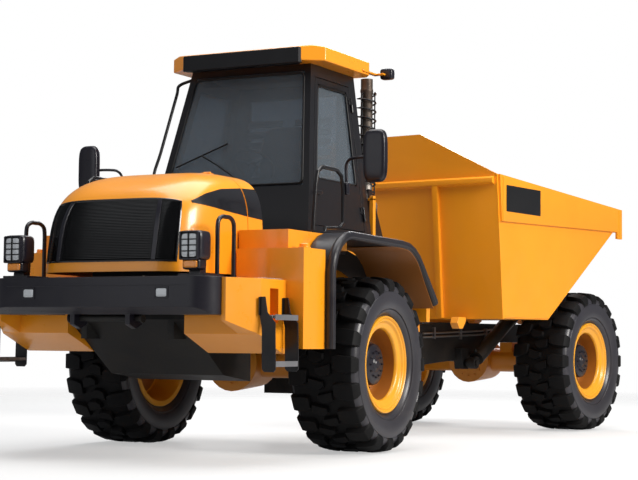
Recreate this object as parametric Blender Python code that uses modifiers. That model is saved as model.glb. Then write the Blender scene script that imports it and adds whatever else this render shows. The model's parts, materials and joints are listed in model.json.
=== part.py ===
"""Two-axle articulated dump truck: tractor, hitch, rear frame, tipping bed, cylinders and four wheels.

Metres, +Z up, ground at Z 0. The truck faces -Y and its left side is +X. Every shape is laid out on a
straight truck; the empties at the joints then turn the rear half to its parked steering angle.
"""
import math

import bmesh
import bpy
from mathutils import Matrix, Vector

# ---------------------------------------------------------------- driving dimensions
CENTRE_X = 0.135  # middle of the parked truck's box, which becomes the origin
CENTRE_Y = 1.54
REST_STEER = math.radians(-7.3)  # the rear half, turned about the hitch pin as parked
SEAT_GAP = 0.0003  # between pieces that rest on each other
MERGE = 0.00001  # points nearer than this are one
RUN_GAP = 0.006  # between pieces that move past each other
PIN_GAP = 0.0008  # radial play of an eye on its pin

TYRE_RADIUS = 0.68
TYRE_WIDTH = 0.58
TRACK = 2.06  # between the middles of the tyres
RIM_RADIUS = 0.345
FLANGE_RADIUS = 0.377
HUB_RADIUS = 0.155
SPINDLE_RADIUS = 0.07
WHEEL_SIDES = 28
AXLE_RADIUS = 0.12
PIVOT_Y = 1.83  # hitch pin, behind the front axle
REAR_AXLE_Y = 4.28
ROLL_Z = 0.745  # axis on which the rear frame rolls

FRAME_HALF = 0.40
RAIL_THICKNESS = 0.05
AXLE_SADDLE_TOP = 0.86
FRAME_TOP = 1.12

BUMPER_FRONT_Y = -2.096
BUMPER_FLAT_HALF = 0.77
BUMPER_END_HALF = 0.94
BUMPER_LOW = 1.08
BUMPER_TOP = 1.29
STEP_HALF = 1.11  # outer side of the front corner fairings
TANK_FRONT_Y = -1.33
TANK_REAR_Y = -1.00
TANK_HALF = 1.25
TANK_LOW = 0.80
TANK_TOP = 1.515
DECK_HALF = 1.08
DECK_TOP = 1.655
DECK_THICKNESS = 0.11
DECK_REAR_Y = -0.30
ARCH_WALL_X = 0.66

HOOD_HALF = 0.66
HOOD_LOW = 1.33
HOOD_TOP = 2.10
HOOD_REAR_Y = -1.10
COWL_REAR_Y = -0.88
HOOD_SKIN = 0.022

CAB_LOW_HALF = 0.75
CAB_TOP_HALF = 0.56
CAB_LOW_FRONT_Y = -0.33
CAB_TOP_FRONT_Y = 0.05
CAB_REAR_Y = 0.82
CAB_LOW = DECK_TOP + SEAT_GAP
CAB_TOP = 3.09
CAB_WALL = 0.055
GLASS = 0.006
CAB_PILLAR = 0.075
DOOR_REAR_Y = 0.70
DOOR_LOW = 1.76
DOOR_TOP = 2.99
BELT_LINE = 2.14
HINGE_STANDOFF = 0.013
DOOR_HINGE_HEIGHTS = (0.12, 1.05)
ROOF_HALF = 0.72
ROOF_FRONT_Y = -0.12
ROOF_TOP = 3.245

FENDER_INNER_X = 0.79
FENDER_OUTER_X = 1.315
FENDER_THICKNESS = 0.045

BED_HALF = 1.25
BED_FRONT_Y = 2.39
BED_LOW = 1.075
BED_FRONT_TOP = 2.375
BED_CREST = 2.78
BED_CREST_HALF = 0.46
BED_KNEE_Y = 3.40
BED_TAIL_Y = 4.86
BED_TAIL_LOW = 1.99
BED_END_Y = 5.04
BED_END_TOP = 2.233
PLATE = 0.02
TIP_AXIS_Y = 4.72
TIP_AXIS_Z = 1.13

TIP_BASE = (0.55, 3.20, 0.66)
TIP_EYE = (0.55, 4.36, 1.33)
TIP_BORE = 0.052
TIP_BARREL_RADIUS = 0.07
TIP_BARREL_REACH = 0.93
TIP_ROD_LENGTH = 0.90
STEER_BASE = (0.341, 1.14, 0.77)
STEER_EYE = (0.261, 2.00, 0.77)
STEER_BORE = 0.030
STEER_BARREL_RADIUS = 0.044
STEER_BARREL_REACH = 0.535
STEER_ROD_LENGTH = 0.52

MATERIALS = {
    "yellow_paint": ((0.90, 0.42, 0.02), 0.35, 0.0),
    "black_paint": ((0.03, 0.03, 0.035), 0.45, 0.0),
    "tyre_rubber": ((0.02, 0.02, 0.022), 0.85, 0.0),
    "window_glass": ((0.25, 0.32, 0.36), 0.05, 0.0),
    "seat_cloth": ((0.04, 0.04, 0.045), 0.9, 0.0),
    "bright_steel": ((0.6, 0.6, 0.62), 0.25, 1.0),
    "exhaust_steel": ((0.45, 0.42, 0.35), 0.5, 0.8),
}

# ---------------------------------------------------------------- scene and materials


def clear_scene():
    for obj in list(bpy.data.objects):
        bpy.data.objects.remove(obj, do_unlink=True)
    for collection in list(bpy.data.collections):
        bpy.data.collections.remove(collection)


def new_collection(name):
    collection = bpy.data.collections.new(name)
    bpy.context.scene.collection.children.link(collection)
    return collection


def material_for(name):
    material = bpy.data.materials.get(name)
    if material is None:
        colour, roughness, metallic = MATERIALS[name]
        material = bpy.data.materials.new(name)
        material.use_nodes = True
        shader = material.node_tree.nodes["Principled BSDF"]
        shader.inputs["Base Color"].default_value = (*colour, 1)
        shader.inputs["Roughness"].default_value = roughness
        shader.inputs["Metallic"].default_value = metallic
    return material


# ---------------------------------------------------------------- shapes


def as_object(name, mesh):
    obj = bpy.data.objects.new(name, mesh)
    PARTS.objects.link(obj)
    return obj


def box(low, high):
    form = bmesh.new()
    bmesh.ops.create_cube(form, size=1)
    size = Vector(high) - Vector(low)
    middle = (Vector(high) + Vector(low)) / 2
    form.transform(Matrix.Translation(middle) @ Matrix.Diagonal((*size, 1)))
    mesh = bpy.data.meshes.new("box")
    form.to_mesh(mesh)
    form.free()
    return as_object("box", mesh)


def tapered_box(low, high):
    """A box whose lower and upper corners are set apart: each set is (half width, front y, rear y, z)."""
    form = bmesh.new()
    bmesh.ops.create_cube(form, size=2)
    for vert in form.verts:
        half, front, rear, level = high if vert.co.z > 0 else low
        side = half if vert.co.x > 0 else -half
        along = rear if vert.co.y > 0 else front
        vert.co = (side, along, level)
    mesh = bpy.data.meshes.new("tapered_box")
    form.to_mesh(mesh)
    form.free()
    return as_object("tapered_box", mesh)


def cylinder(start, end, radius, sides=24, end_radius=None):
    start = Vector(start)
    reach = Vector(end) - start
    form = bmesh.new()
    bmesh.ops.create_cone(
        form,
        cap_ends=True,
        segments=sides,
        radius1=radius,
        radius2=radius if end_radius is None else end_radius,
        depth=reach.length,
    )
    turn = reach.to_track_quat("Z", "Y").to_matrix().to_4x4()
    form.transform(Matrix.Translation(start + reach / 2) @ turn)
    mesh = bpy.data.meshes.new("cylinder")
    form.to_mesh(mesh)
    form.free()
    return as_object("cylinder", mesh)


def mesh_of(obj, face_outward=True):
    """Turns a curve, or an object with modifiers, into a plain mesh with its caps welded."""
    graph = bpy.context.evaluated_depsgraph_get()
    graph.update()
    mesh = bpy.data.meshes.new_from_object(obj.evaluated_get(graph))
    mesh.transform(obj.matrix_world)
    form = bmesh.new()
    form.from_mesh(mesh)
    bmesh.ops.remove_doubles(form, verts=form.verts, dist=MERGE)
    if face_outward:
        bmesh.ops.recalc_face_normals(form, faces=form.faces)
    form.to_mesh(mesh)
    form.free()
    bpy.data.objects.remove(obj, do_unlink=True)
    return as_object("mesh", mesh)


AXIS_FRAMES = {
    "X": Matrix(((0, 0, 1, 0), (1, 0, 0, 0), (0, 1, 0, 0), (0, 0, 0, 1))),
    "Y": Matrix(((1, 0, 0, 0), (0, 0, -1, 0), (0, 1, 0, 0), (0, 0, 0, 1))),
    "Z": Matrix.Identity(4),
}


def corners_only(outline):
    """Leaves out each point that lies on the straight line between its neighbours."""
    kept = []
    for index, (x, y) in enumerate(outline):
        before = outline[index - 1]
        after = outline[(index + 1) % len(outline)]
        turn = (x - before[0]) * (after[1] - y) - (y - before[1]) * (after[0] - x)
        if abs(turn) > 1e-9:
            kept.append((x, y))
    return kept


def prism(outline, axis, low, high):
    """A flat outline, in (y, z), (x, z) or (x, y), pulled along the axis from low to high."""
    outline = corners_only(outline)
    curve = bpy.data.curves.new("outline", "CURVE")
    curve.dimensions = "2D"
    curve.fill_mode = "BOTH"
    curve.extrude = (high - low) / 2
    spline = curve.splines.new("POLY")
    spline.points.add(len(outline) - 1)
    for point, place in zip(spline.points, outline):
        point.co = (*place, 0, 1)
    spline.use_cyclic_u = True
    obj = as_object("outline", curve)
    middle = (high + low) / 2
    shift = {"X": (middle, 0, 0), "Y": (0, middle, 0), "Z": (0, 0, middle)}[axis]
    obj.matrix_world = Matrix.Translation(shift) @ AXIS_FRAMES[axis]
    bpy.context.view_layer.update()
    return mesh_of(obj)


def pipe(points, radius, sides=2):
    curve = bpy.data.curves.new("pipe", "CURVE")
    curve.dimensions = "3D"
    curve.bevel_depth = radius
    curve.bevel_resolution = sides
    curve.use_fill_caps = True
    spline = curve.splines.new("POLY")
    spline.points.add(len(points) - 1)
    for point, place in zip(spline.points, points):
        point.co = (*place, 1)
    return mesh_of(as_object("pipe", curve))


def turned(profile, centre, outward, steps=40):
    """Turns a closed (radius, offset) profile about an X axis through centre; offset grows along outward."""
    mesh = bpy.data.meshes.new("profile")
    corners = [(radius, 0, offset) for radius, offset in profile]
    count = len(corners)
    mesh.from_pydata(corners, [(index, (index + 1) % count) for index in range(count)], [])
    obj = as_object("turned", mesh)
    screw = obj.modifiers.new("Screw", "SCREW")
    screw.steps = steps
    screw.render_steps = steps
    screw.use_merge_vertices = True
    screw.merge_threshold = 1e-5
    obj.matrix_world = Matrix.Translation(centre) @ Matrix.Rotation(outward * math.pi / 2, 4, "Y")
    bpy.context.view_layer.update()
    return mesh_of(obj)


def boolean(base, other, operation):
    change = base.modifiers.new(operation, "BOOLEAN")
    change.operation = operation
    change.solver = "MANIFOLD"
    change.object = other
    result = mesh_of(base, face_outward=False)
    bpy.data.objects.remove(other, do_unlink=True)
    return result


def joined(*pieces):
    base = pieces[0]
    for piece in pieces[1:]:
        base = boolean(base, piece, "UNION")
    return base


def cut(base, *cutters):
    for cutter in cutters:
        base = boolean(base, cutter, "DIFFERENCE")
    return base


def common(base, other):
    return boolean(base, other, "INTERSECT")


def arc(middle, radius, start, stop, count):
    """Points on an arc in its own plane, in degrees."""
    spots = []
    for index in range(count + 1):
        angle = math.radians(start + (stop - start) * index / count)
        spots.append((middle[0] + radius * math.cos(angle), middle[1] + radius * math.sin(angle)))
    return spots


def mirrored(points):
    """Closes a half outline, given from the middle plane outwards, with its mirror image."""
    return list(points) + [(-x, other) for x, other in reversed(points) if abs(x) > 1e-6]


# ---------------------------------------------------------------- joints and nodes


def joint_empty(name, place, parent=None, turn=None):
    """An empty at a joint. Its place is on the straight truck."""
    empty = bpy.data.objects.new(name, None)
    empty.empty_display_size = 0.2
    PARTS.objects.link(empty)
    STRAIGHT[name] = Vector(place)
    if parent is not None:
        empty.parent = parent
        empty.location = Vector(place) - STRAIGHT[parent.name]
    else:
        empty.location = Vector(place)
    if turn is not None:
        empty.rotation_euler = turn
    return empty


def node(name, shape, material, parent):
    """Names a finished shape, gives it its material and hangs it on its joint."""
    origin = STRAIGHT[parent.name]
    shape.name = name
    shape.data.name = name
    shape.data.transform(Matrix.Translation(-origin))
    shape.parent = parent
    shape.data.materials.clear()
    shape.data.materials.append(material_for(material))
    shape.data.shade_smooth()
    shape.data.set_sharp_from_angle(angle=math.radians(35))
    return shape


# ---------------------------------------------------------------- wheels and axles


def make_wheel(name, parent, side):
    """A tyre with a flat tread, and a dished rim with its hub, open inwards for the spindle."""
    axle = STRAIGHT[parent.name]
    half = TYRE_WIDTH / 2
    bead = half - 0.075
    outer = [(RIM_RADIUS + SEAT_GAP, bead), (FLANGE_RADIUS + 0.006, bead), (0.43, half - 0.015), (0.52, half)]
    outer += [(0.61, half - 0.008), (0.66, half - 0.04), (TYRE_RADIUS, half - 0.085)]
    tyre = outer + [(radius, -offset) for radius, offset in reversed(outer)]
    node(name + "_tyre", turned(tyre, axle, side, WHEEL_SIDES), "tyre_rubber", parent)
    seat = bead + SEAT_GAP
    bore = SPINDLE_RADIUS + PIN_GAP
    rim = [
        (0.0, 0.145), (HUB_RADIUS - 0.025, 0.145), (HUB_RADIUS, 0.12), (HUB_RADIUS, 0.03), (0.29, 0.03),
        (0.315, bead), (0.335, half - 0.045), (FLANGE_RADIUS, half - 0.045), (FLANGE_RADIUS, seat),
        (RIM_RADIUS, seat), (RIM_RADIUS, -seat), (FLANGE_RADIUS, -seat), (FLANGE_RADIUS, -half + 0.045),
        (0.335, -half + 0.045), (0.30, -0.02), (HUB_RADIUS, -0.02), (HUB_RADIUS, -0.06), (bore, -0.06),
        (bore, 0.06), (0.0, 0.06),
    ]
    node(name + "_rim", turned(rim, axle, side, WHEEL_SIDES), "yellow_paint", parent)


def make_axle(name, parent, axle_y):
    level = TYRE_RADIUS
    half = TRACK / 2
    tube_end = half - 0.075
    tube = cylinder((-tube_end, axle_y, level), (tube_end, axle_y, level), AXLE_RADIUS)
    spindle = cylinder((-half - 0.05, axle_y, level), (half + 0.05, axle_y, level), SPINDLE_RADIUS)
    casing = cylinder((0, axle_y - 0.20, level), (0, axle_y + 0.20, level), 0.23, 24, 0.20)
    shape = joined(tube, spindle, casing)
    for side in (-1, 1):
        x = side * (FRAME_HALF - RAIL_THICKNESS / 2)
        saddle = box((x - 0.07, axle_y - 0.09, level), (x + 0.07, axle_y + 0.09, AXLE_SADDLE_TOP))
        shape = joined(shape, saddle)
    node(name, shape, "yellow_paint", parent)


# ---------------------------------------------------------------- tractor frame and front end


def frame_rail(side, front, rear, low, top):
    inner = FRAME_HALF - RAIL_THICKNESS
    lows = (min(side * inner, side * FRAME_HALF), front, low)
    highs = (max(side * inner, side * FRAME_HALF), rear, top)
    return box(lows, highs)


def make_front_frame(parent):
    """Two rails with a belly guard under the engine, a rear bulkhead and the two ears of the hitch."""
    low = AXLE_SADDLE_TOP + SEAT_GAP
    shape = box((-FRAME_HALF + 0.01, 1.02, 0.40), (FRAME_HALF - 0.01, 1.085, FRAME_TOP - 0.01))
    for side in (-1, 1):
        shape = joined(shape, frame_rail(side, -1.68, 1.08, low, FRAME_TOP))
    shape = joined(shape, box((-0.38, -0.62, 0.90), (0.38, -0.54, FRAME_TOP - 0.02)))
    belly = [(-1.70, 1.06), (-1.70, 1.00), (-1.15, 0.60), (-0.76, 0.55), (-0.76, 0.93), (-1.30, 1.02)]
    shape = joined(shape, prism(belly, "X", -0.497, 0.497))
    for low_z, high_z in ((1.00, 1.07), (0.42, 0.49)):
        tip = PIVOT_Y + 0.15
        ear = mirrored([(0, tip), (0.11, tip - 0.05), (0.15, PIVOT_Y), (0.30, 1.05), (0, 1.05)])
        shape = joined(shape, prism(ear, "Z", low_z, high_z))
    for side in (-1, 1):
        x, y, z = side * STEER_BASE[0], STEER_BASE[1], STEER_BASE[2]
        for step in (-1, 1):
            low_z = z + step * 0.045 - 0.012
            shape = joined(shape, box((x - 0.045, 1.05, low_z), (x + 0.045, y + 0.05, low_z + 0.024)))
        shape = joined(shape, cylinder((x, y, z - 0.05), (x, y, z + 0.05), 0.02, 16))
    node("front_frame", shape, "black_paint", parent)


def make_hitch(parent):
    bottom = 0.49 + SEAT_GAP
    top = 1.00 - SEAT_GAP
    post = cylinder((0, PIVOT_Y, bottom), (0, PIVOT_Y, top), 0.12)
    tongue = box((-0.11, PIVOT_Y, ROLL_Z - 0.14), (0.11, PIVOT_Y + 0.24, ROLL_Z + 0.14))
    collar = cylinder((0, PIVOT_Y + 0.22, ROLL_Z), (0, PIVOT_Y + 0.32, ROLL_Z), 0.20)
    shaft = cylinder((0, PIVOT_Y + 0.30, ROLL_Z), (0, PIVOT_Y + 0.52, ROLL_Z), 0.11, 48)
    shape = joined(post, tongue, collar, shaft)
    for side in (-1, 1):
        x, y, z = side * STEER_EYE[0], STEER_EYE[1], STEER_EYE[2]
        ear = [(0, y - 0.08), (x, y - 0.05), (x + side * 0.05, y), (x, y + 0.05), (0, y + 0.08)]
        shape = joined(shape, prism(ear, "Z", z - 0.055, z - 0.031))
    node("hitch_yoke", shape, "black_paint", parent)


def bumper_outline(rear):
    half = BUMPER_FLAT_HALF
    points = [(0, BUMPER_FRONT_Y), (half, BUMPER_FRONT_Y)]
    corner = (half, BUMPER_FRONT_Y + 0.17)
    points += arc(corner, BUMPER_END_HALF - half, -72, 0, 4)
    points += [(BUMPER_END_HALF, rear), (0, rear)]
    return mirrored(points)


def make_bumper(parent):
    shape = prism(bumper_outline(-1.71), "Z", BUMPER_LOW - 0.05, BUMPER_TOP)
    front = BUMPER_FRONT_Y - 0.02
    chin = [(front, BUMPER_LOW - 0.07), (front, BUMPER_LOW + 0.012), (-1.98, BUMPER_LOW - 0.07)]
    shape = cut(shape, prism(chin, "X", -1.2, 1.2))
    hollow = box((-0.52, -1.95, BUMPER_LOW - 0.06), (0.52, -1.69, BUMPER_TOP - 0.05))
    shape = cut(shape, hollow)
    for side in (-1, 1):
        top = BUMPER_LOW - 0.02
        lug = [(-2.02, top), (-2.02, 0.96), (-1.94, 0.93), (-1.86, 0.96), (-1.86, top)]
        x = side * 0.235
        shape = joined(shape, prism(lug, "X", x - 0.02, x + 0.02))
    node("front_bumper", shape, "black_paint", parent)


def make_fairing(side, word, parent):
    """The front corner: vertical sides, a chamfered corner and an underside that rises to the bumper."""
    profile = [(-1.705, BUMPER_TOP - 0.005), (-1.705, 0.90), (TANK_FRONT_Y - 0.05, 0.765),
               (TANK_FRONT_Y - SEAT_GAP, 0.765), (TANK_FRONT_Y - SEAT_GAP, BUMPER_TOP - 0.005)]
    inner = min(side * 0.502, side * STEP_HALF)
    outer = max(side * 0.502, side * STEP_HALF)
    shape = prism(profile, "X", inner, outer)
    wing_profile = [(-1.93, BUMPER_TOP - 0.005), (-1.93, 0.99), (-1.70, 0.90), (-1.70, BUMPER_TOP - 0.005)]
    wing_inner = BUMPER_END_HALF + SEAT_GAP
    low_x = min(side * wing_inner, side * STEP_HALF)
    shape = joined(shape, prism(wing_profile, "X", low_x, low_x + STEP_HALF - wing_inner))
    corner = [(side * 0.90, -2.06), (side * 1.30, -1.35), (side * 1.30, -2.06)]
    if side < 0:
        corner.reverse()
    shape = cut(shape, prism(corner, "Z", 0.5, 1.5))
    slot = box((side * 1.05 - 0.1, -1.56, 0.98), (side * 1.05 + 0.1, -1.44, 1.22))
    shape = cut(shape, slot)
    node("corner_fairing_" + word, shape, "yellow_paint", parent)


def make_side_body(side, word, parent):
    """The side box before the wheel, the deck beside the cab and the wall over the wheel, as one weldment."""
    inner, outer = sorted((side * (ARCH_WALL_X + 0.04), side * TANK_HALF))
    shape = box((inner, TANK_FRONT_Y, TANK_LOW), (outer, TANK_REAR_Y, TANK_TOP))
    inner, outer = sorted((side * (HOOD_HALF + 0.012), side * DECK_HALF))
    deck_low = DECK_TOP - DECK_THICKNESS
    upper = box((inner, TANK_FRONT_Y + 0.08, TANK_TOP - 0.03), (outer, TANK_REAR_Y - 0.03, DECK_TOP - 0.001))
    shape = joined(shape, upper)
    deck = box((inner + 0.008, TANK_REAR_Y - 0.06, deck_low), (outer - 0.008, DECK_REAR_Y, DECK_TOP))
    shape = joined(shape, deck)
    inner, outer = sorted((side * (ARCH_WALL_X + 0.028), side * (ARCH_WALL_X + 0.06)))
    wall_top = DECK_TOP - 0.0005
    wall = [(TANK_REAR_Y - 0.05, 1.10), (-0.55, 1.16), (0.55, 1.16), (0.80, 1.00), (0.84, 1.00),
            (0.84, wall_top), (TANK_REAR_Y - 0.05, wall_top)]
    shape = joined(shape, prism(wall, "X", inner, outer))
    inner, outer = sorted((side * (FRAME_HALF + SEAT_GAP), side * (ARCH_WALL_X + 0.05)))
    bracket = box((inner, TANK_REAR_Y - 0.04, 1.02), (outer, TANK_REAR_Y - 0.003, FRAME_TOP + 0.05))
    shape = joined(shape, bracket)
    node("side_box_" + word, shape, "yellow_paint", parent)


def make_ladder(side, word, parent):
    """Two black side plates with two treads, hung on the side of the corner fairing."""
    inner, outer = sorted((side * (STEP_HALF + SEAT_GAP), side * (STEP_HALF + 0.13)))
    plates = []
    for y, lean in ((-1.66, -0.02), (-1.385, 0.0)):
        outline = [(y - 0.02, 1.16), (y + 0.02, 1.16), (y + lean + 0.045, 0.64), (y + lean - 0.045, 0.64)]
        plates.append(prism(outline, "X", inner, outer))
    treads = []
    for level in (0.68, 1.00):
        treads.append(box((inner + 0.006, -1.68, level), (outer - 0.006, -1.37, level + 0.03)))
    bridge = joined(treads[0], plates[0], plates[1])
    node("ladder_" + word, joined(bridge, treads[1]), "black_paint", parent)


def make_front_lamp(side, word, parent):
    """Lamp housing and rail loop on one base plate, on top of the bumper."""
    base_low = BUMPER_TOP + SEAT_GAP
    inner, outer = sorted((side * 0.64, side * 0.86))
    shape = box((inner, -2.02, base_low), (outer, -1.76, base_low + 0.02))
    foot = [(-1.98, base_low), (-1.90, base_low), (-1.88, 1.42), (-1.96, 1.42)]
    mast_low, mast_high = sorted((side * 0.70, side * 0.80))
    shape = joined(shape, prism(foot, "X", mast_low, mast_high))
    shape = joined(shape, box((inner + 0.015, -2.05, 1.40), (outer - 0.015, -1.90, 1.59)))
    shape = joined(shape, box((inner + 0.03, -2.03, 1.335), (outer - 0.03, -1.93, 1.41)))
    x = side * 0.824
    loop = [(x, -1.80, base_low + 0.01), (x, -1.80, 1.66), (x, -1.775, 1.70), (x, -1.74, 1.715),
            (x, -1.64, 1.715), (x, -1.605, 1.70), (x, -1.58, 1.66), (x, -1.58, BUMPER_TOP + 0.001)]
    shape = joined(shape, pipe(loop, 0.0155))
    node("front_lamp_" + word, shape, "black_paint", parent)


def make_engine(parent):
    shape = box((-0.38, -1.58, FRAME_TOP + SEAT_GAP), (0.38, -0.94, 1.78))
    node("engine_block", shape, "black_paint", parent)


# ---------------------------------------------------------------- hood


def hood_form(grow, low, rear):
    """The hood's outer form, grown outwards: side profile, plan and front outline in common."""
    top = HOOD_TOP + grow
    nose = -2.0 - grow
    side_profile = [(rear, low), (-1.93 - grow, low), (nose + 0.01, 1.45), (nose + 0.10, 1.80),
                    (nose + 0.17, 1.90 + grow), (nose + 0.32, 1.98 + grow), (-1.38, top - 0.03),
                    (-1.12, top - 0.005), (rear, top - 0.005)]
    half = HOOD_HALF + grow
    plan = mirrored([(0, nose), (0.25, nose + 0.015), (0.48, nose + 0.07), (0.60, nose + 0.17),
                     (half, nose + 0.34), (half, rear), (0, rear)])
    front = mirrored([(0, low), (half, low), (half, 1.78), (half - 0.035, 1.93), (half - 0.14, 2.03 + grow),
                      (0.30, top - 0.02), (0, top)])
    form = prism(side_profile, "X", -1, 1)
    form = common(form, prism(plan, "Z", 1.0, 2.4))
    return common(form, prism(front, "Y", -2.4, 0))


def hinge_knuckle(middle, toward):
    """Half of an outside hinge across the seam: a barrel on the hinge axis with a leaf down to the skin."""
    axis_y = HOOD_REAR_Y + RUN_GAP / 2
    half = 0.015 - SEAT_GAP / 2
    barrel = cylinder((middle - half, axis_y, HOOD_TOP), (middle + half, axis_y, HOOD_TOP), 0.010, 12)
    near, far = sorted((axis_y + toward * 0.0055, axis_y + toward * 0.035))
    leaf = box((middle - half, near, HOOD_TOP - 0.033), (middle + half, far, HOOD_TOP - 0.002))
    return joined(leaf, barrel)


def make_hood(parent):
    inside = hood_form(-HOOD_SKIN, HOOD_LOW - 0.1, HOOD_REAR_Y + 0.1)
    shell = cut(hood_form(0, HOOD_LOW, HOOD_REAR_Y), inside)
    for side in (-1, 1):
        shell = joined(shell, hinge_knuckle(side * 0.285, -1))
    node("hood", shell, "yellow_paint", parent)
    core = hood_form(SEAT_GAP, HOOD_LOW - 0.1, HOOD_REAR_Y + 0.1)
    panel = cut(hood_form(0.014, HOOD_LOW, HOOD_REAR_Y), core)
    window = [(-2.2, 1.425), (-2.2, 1.89), (-1.79, 1.89), (-1.74, 1.84), (-1.78, 1.52), (-1.93, 1.425)]
    panel = common(panel, prism(window, "X", -1, 1))
    node("grille", panel, "black_paint", parent)


def make_cowl(parent):
    """The fixed rear end of the hood, open to the front, with the bulkhead under the windscreen."""
    front = HOOD_REAR_Y + RUN_GAP
    shell = hood_form(0, HOOD_LOW, COWL_REAR_Y)
    shell = cut(shell, hood_form(-HOOD_SKIN, HOOD_LOW - 0.1, COWL_REAR_Y + 0.1))
    shell = common(shell, box((-1, front, 1.0), (1, COWL_REAR_Y, 2.4)))
    half = HOOD_HALF - HOOD_SKIN + 0.006
    shell = joined(shell, box((-half, -0.93, HOOD_LOW + 0.001), (half, COWL_REAR_Y - 0.001, 2.03)))
    foot = FRAME_TOP + SEAT_GAP
    shell = joined(shell, box((-0.38, -0.925, foot), (0.38, COWL_REAR_Y - 0.01, HOOD_LOW + 0.05)))
    for side in (-1, 1):
        shell = joined(shell, hinge_knuckle(side * 0.315, 1))
    node("hood_cowl", shell, "yellow_paint", parent)


# ---------------------------------------------------------------- cab


def cab_front_y(level):
    """Outer face of the cab's sloping front at a height."""
    slope = (CAB_TOP_FRONT_Y - CAB_LOW_FRONT_Y) / (CAB_TOP - CAB_LOW)
    return CAB_LOW_FRONT_Y + slope * (level - CAB_LOW)


def cab_half(level):
    """Outer half width of the cab, which narrows upwards."""
    taper = (CAB_LOW_HALF - CAB_TOP_HALF) / (CAB_TOP - CAB_LOW)
    return CAB_LOW_HALF - taper * (level - CAB_LOW)


def cab_form(inset):
    """The cab's outer form, taken in on every side."""
    corners = []
    for level in (CAB_LOW + inset, CAB_TOP - inset):
        corners.append((cab_half(level) - inset, cab_front_y(level) + inset, CAB_REAR_Y - inset, level))
    return tapered_box(corners[0], corners[1])


def cab_shell(outer, inner):
    return cut(cab_form(outer), cab_form(inner))


def side_region(side, low, high, margin):
    """A block through one side wall, whose front edge runs parallel to the sloping pillar."""
    front = CAB_PILLAR + margin
    outline = [(cab_front_y(low) + front, low), (DOOR_REAR_Y - margin, low), (DOOR_REAR_Y - margin, high),
               (cab_front_y(high) + front, high)]
    inner, outer = sorted((side * 0.3, side * 1.0))
    return prism(outline, "X", inner, outer)


def side_panel_region(side, shrink):
    return side_region(side, DOOR_LOW + shrink, DOOR_TOP - shrink, shrink)


def side_pane_region(side, shrink):
    return side_region(side, BELT_LINE + shrink, DOOR_TOP - 0.055 - shrink, 0.055 + shrink)


def rear_region(half, low, high, shrink):
    return box((-half + shrink, 0.60, low + shrink), (half - shrink, 1.0, high - shrink))


def windscreen_block(shrink):
    """A tapered block through the front wall, which leaves the sloping pillars at both sides."""
    low_z = BELT_LINE - 0.06 + shrink
    top_z = DOOR_TOP + 0.04 - shrink
    low_half = cab_half(low_z) - CAB_PILLAR + 0.02 - shrink
    top_half = cab_half(top_z) - CAB_PILLAR + 0.02 - shrink
    return tapered_box((low_half, -0.6, 0.12, low_z), (top_half, -0.6, 0.12, top_z))


def door_axis():
    """The hinge line beside the door's rear edge, leaning in with the cab's side: a point and a direction."""
    point = Vector((cab_half(DOOR_LOW) + HINGE_STANDOFF, DOOR_REAR_Y - RUN_GAP / 2, DOOR_LOW))
    high = Vector((cab_half(DOOR_TOP) + HINGE_STANDOFF, DOOR_REAR_Y - RUN_GAP / 2, DOOR_TOP))
    return point, (high - point).normalized()


def door_knuckle(height, toward):
    """One half of a door hinge, laid out upright at the origin and then set on the leaning hinge line."""
    point, lean = door_axis()
    half = 0.030 - SEAT_GAP / 2
    barrel = cylinder((0, 0, -half), (0, 0, half), 0.011, 12)
    near, far = sorted((toward * 0.0055, toward * 0.040))
    leaf = box((-HINGE_STANDOFF - 0.004, near, -half), (-0.002, far, half))
    knuckle = joined(leaf, barrel)
    turn = Vector((0, 0, 1)).rotation_difference(lean).to_matrix().to_4x4()
    knuckle.data.transform(Matrix.Translation(point + lean * height) @ turn)
    return knuckle


def make_fixed_panel(name, pane_name, parent, panel_region, pane_region):
    """A wall panel of the cab with its window, cut from the cab's shell."""
    panel = cut(common(cab_shell(0, CAB_WALL), panel_region), pane_region(0))
    node(name, panel, "black_paint", parent)
    pane = common(cab_shell(0.02, 0.02 + GLASS), pane_region(SEAT_GAP))
    node(pane_name, pane, "window_glass", parent)


def make_cab(parent, door):
    shell = cab_shell(0, CAB_WALL)
    rear_opening = rear_region(0.48, DOOR_LOW, DOOR_TOP, 0)
    shell = cut(shell, side_panel_region(1, 0), side_panel_region(-1, 0), rear_opening, windscreen_block(0))
    for height in DOOR_HINGE_HEIGHTS:
        shell = joined(shell, door_knuckle(height, 1))
    node("cab_frame", shell, "black_paint", parent)
    pane = common(cab_shell(0.01, 0.01 + GLASS), windscreen_block(SEAT_GAP))
    node("windscreen", pane, "window_glass", parent)
    make_fixed_panel("cab_right_panel", "right_window", parent, side_panel_region(-1, SEAT_GAP),
                     lambda shrink: side_pane_region(-1, shrink))
    make_fixed_panel("cab_rear_panel", "rear_window", parent, rear_region(0.48, DOOR_LOW, DOOR_TOP, SEAT_GAP),
                     lambda shrink: rear_region(0.42, BELT_LINE, DOOR_TOP - 0.06, shrink))
    panel = cut(common(cab_shell(0, CAB_WALL - 0.01), side_panel_region(1, RUN_GAP)), side_pane_region(1, 0))
    for height in DOOR_HINGE_HEIGHTS:
        panel = joined(panel, door_knuckle(height + 0.060, -1))
    node("door", panel, "black_paint", door)
    pane = common(cab_shell(0.02, 0.02 + GLASS), side_pane_region(1, SEAT_GAP))
    node("door_window", pane, "window_glass", door)


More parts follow.
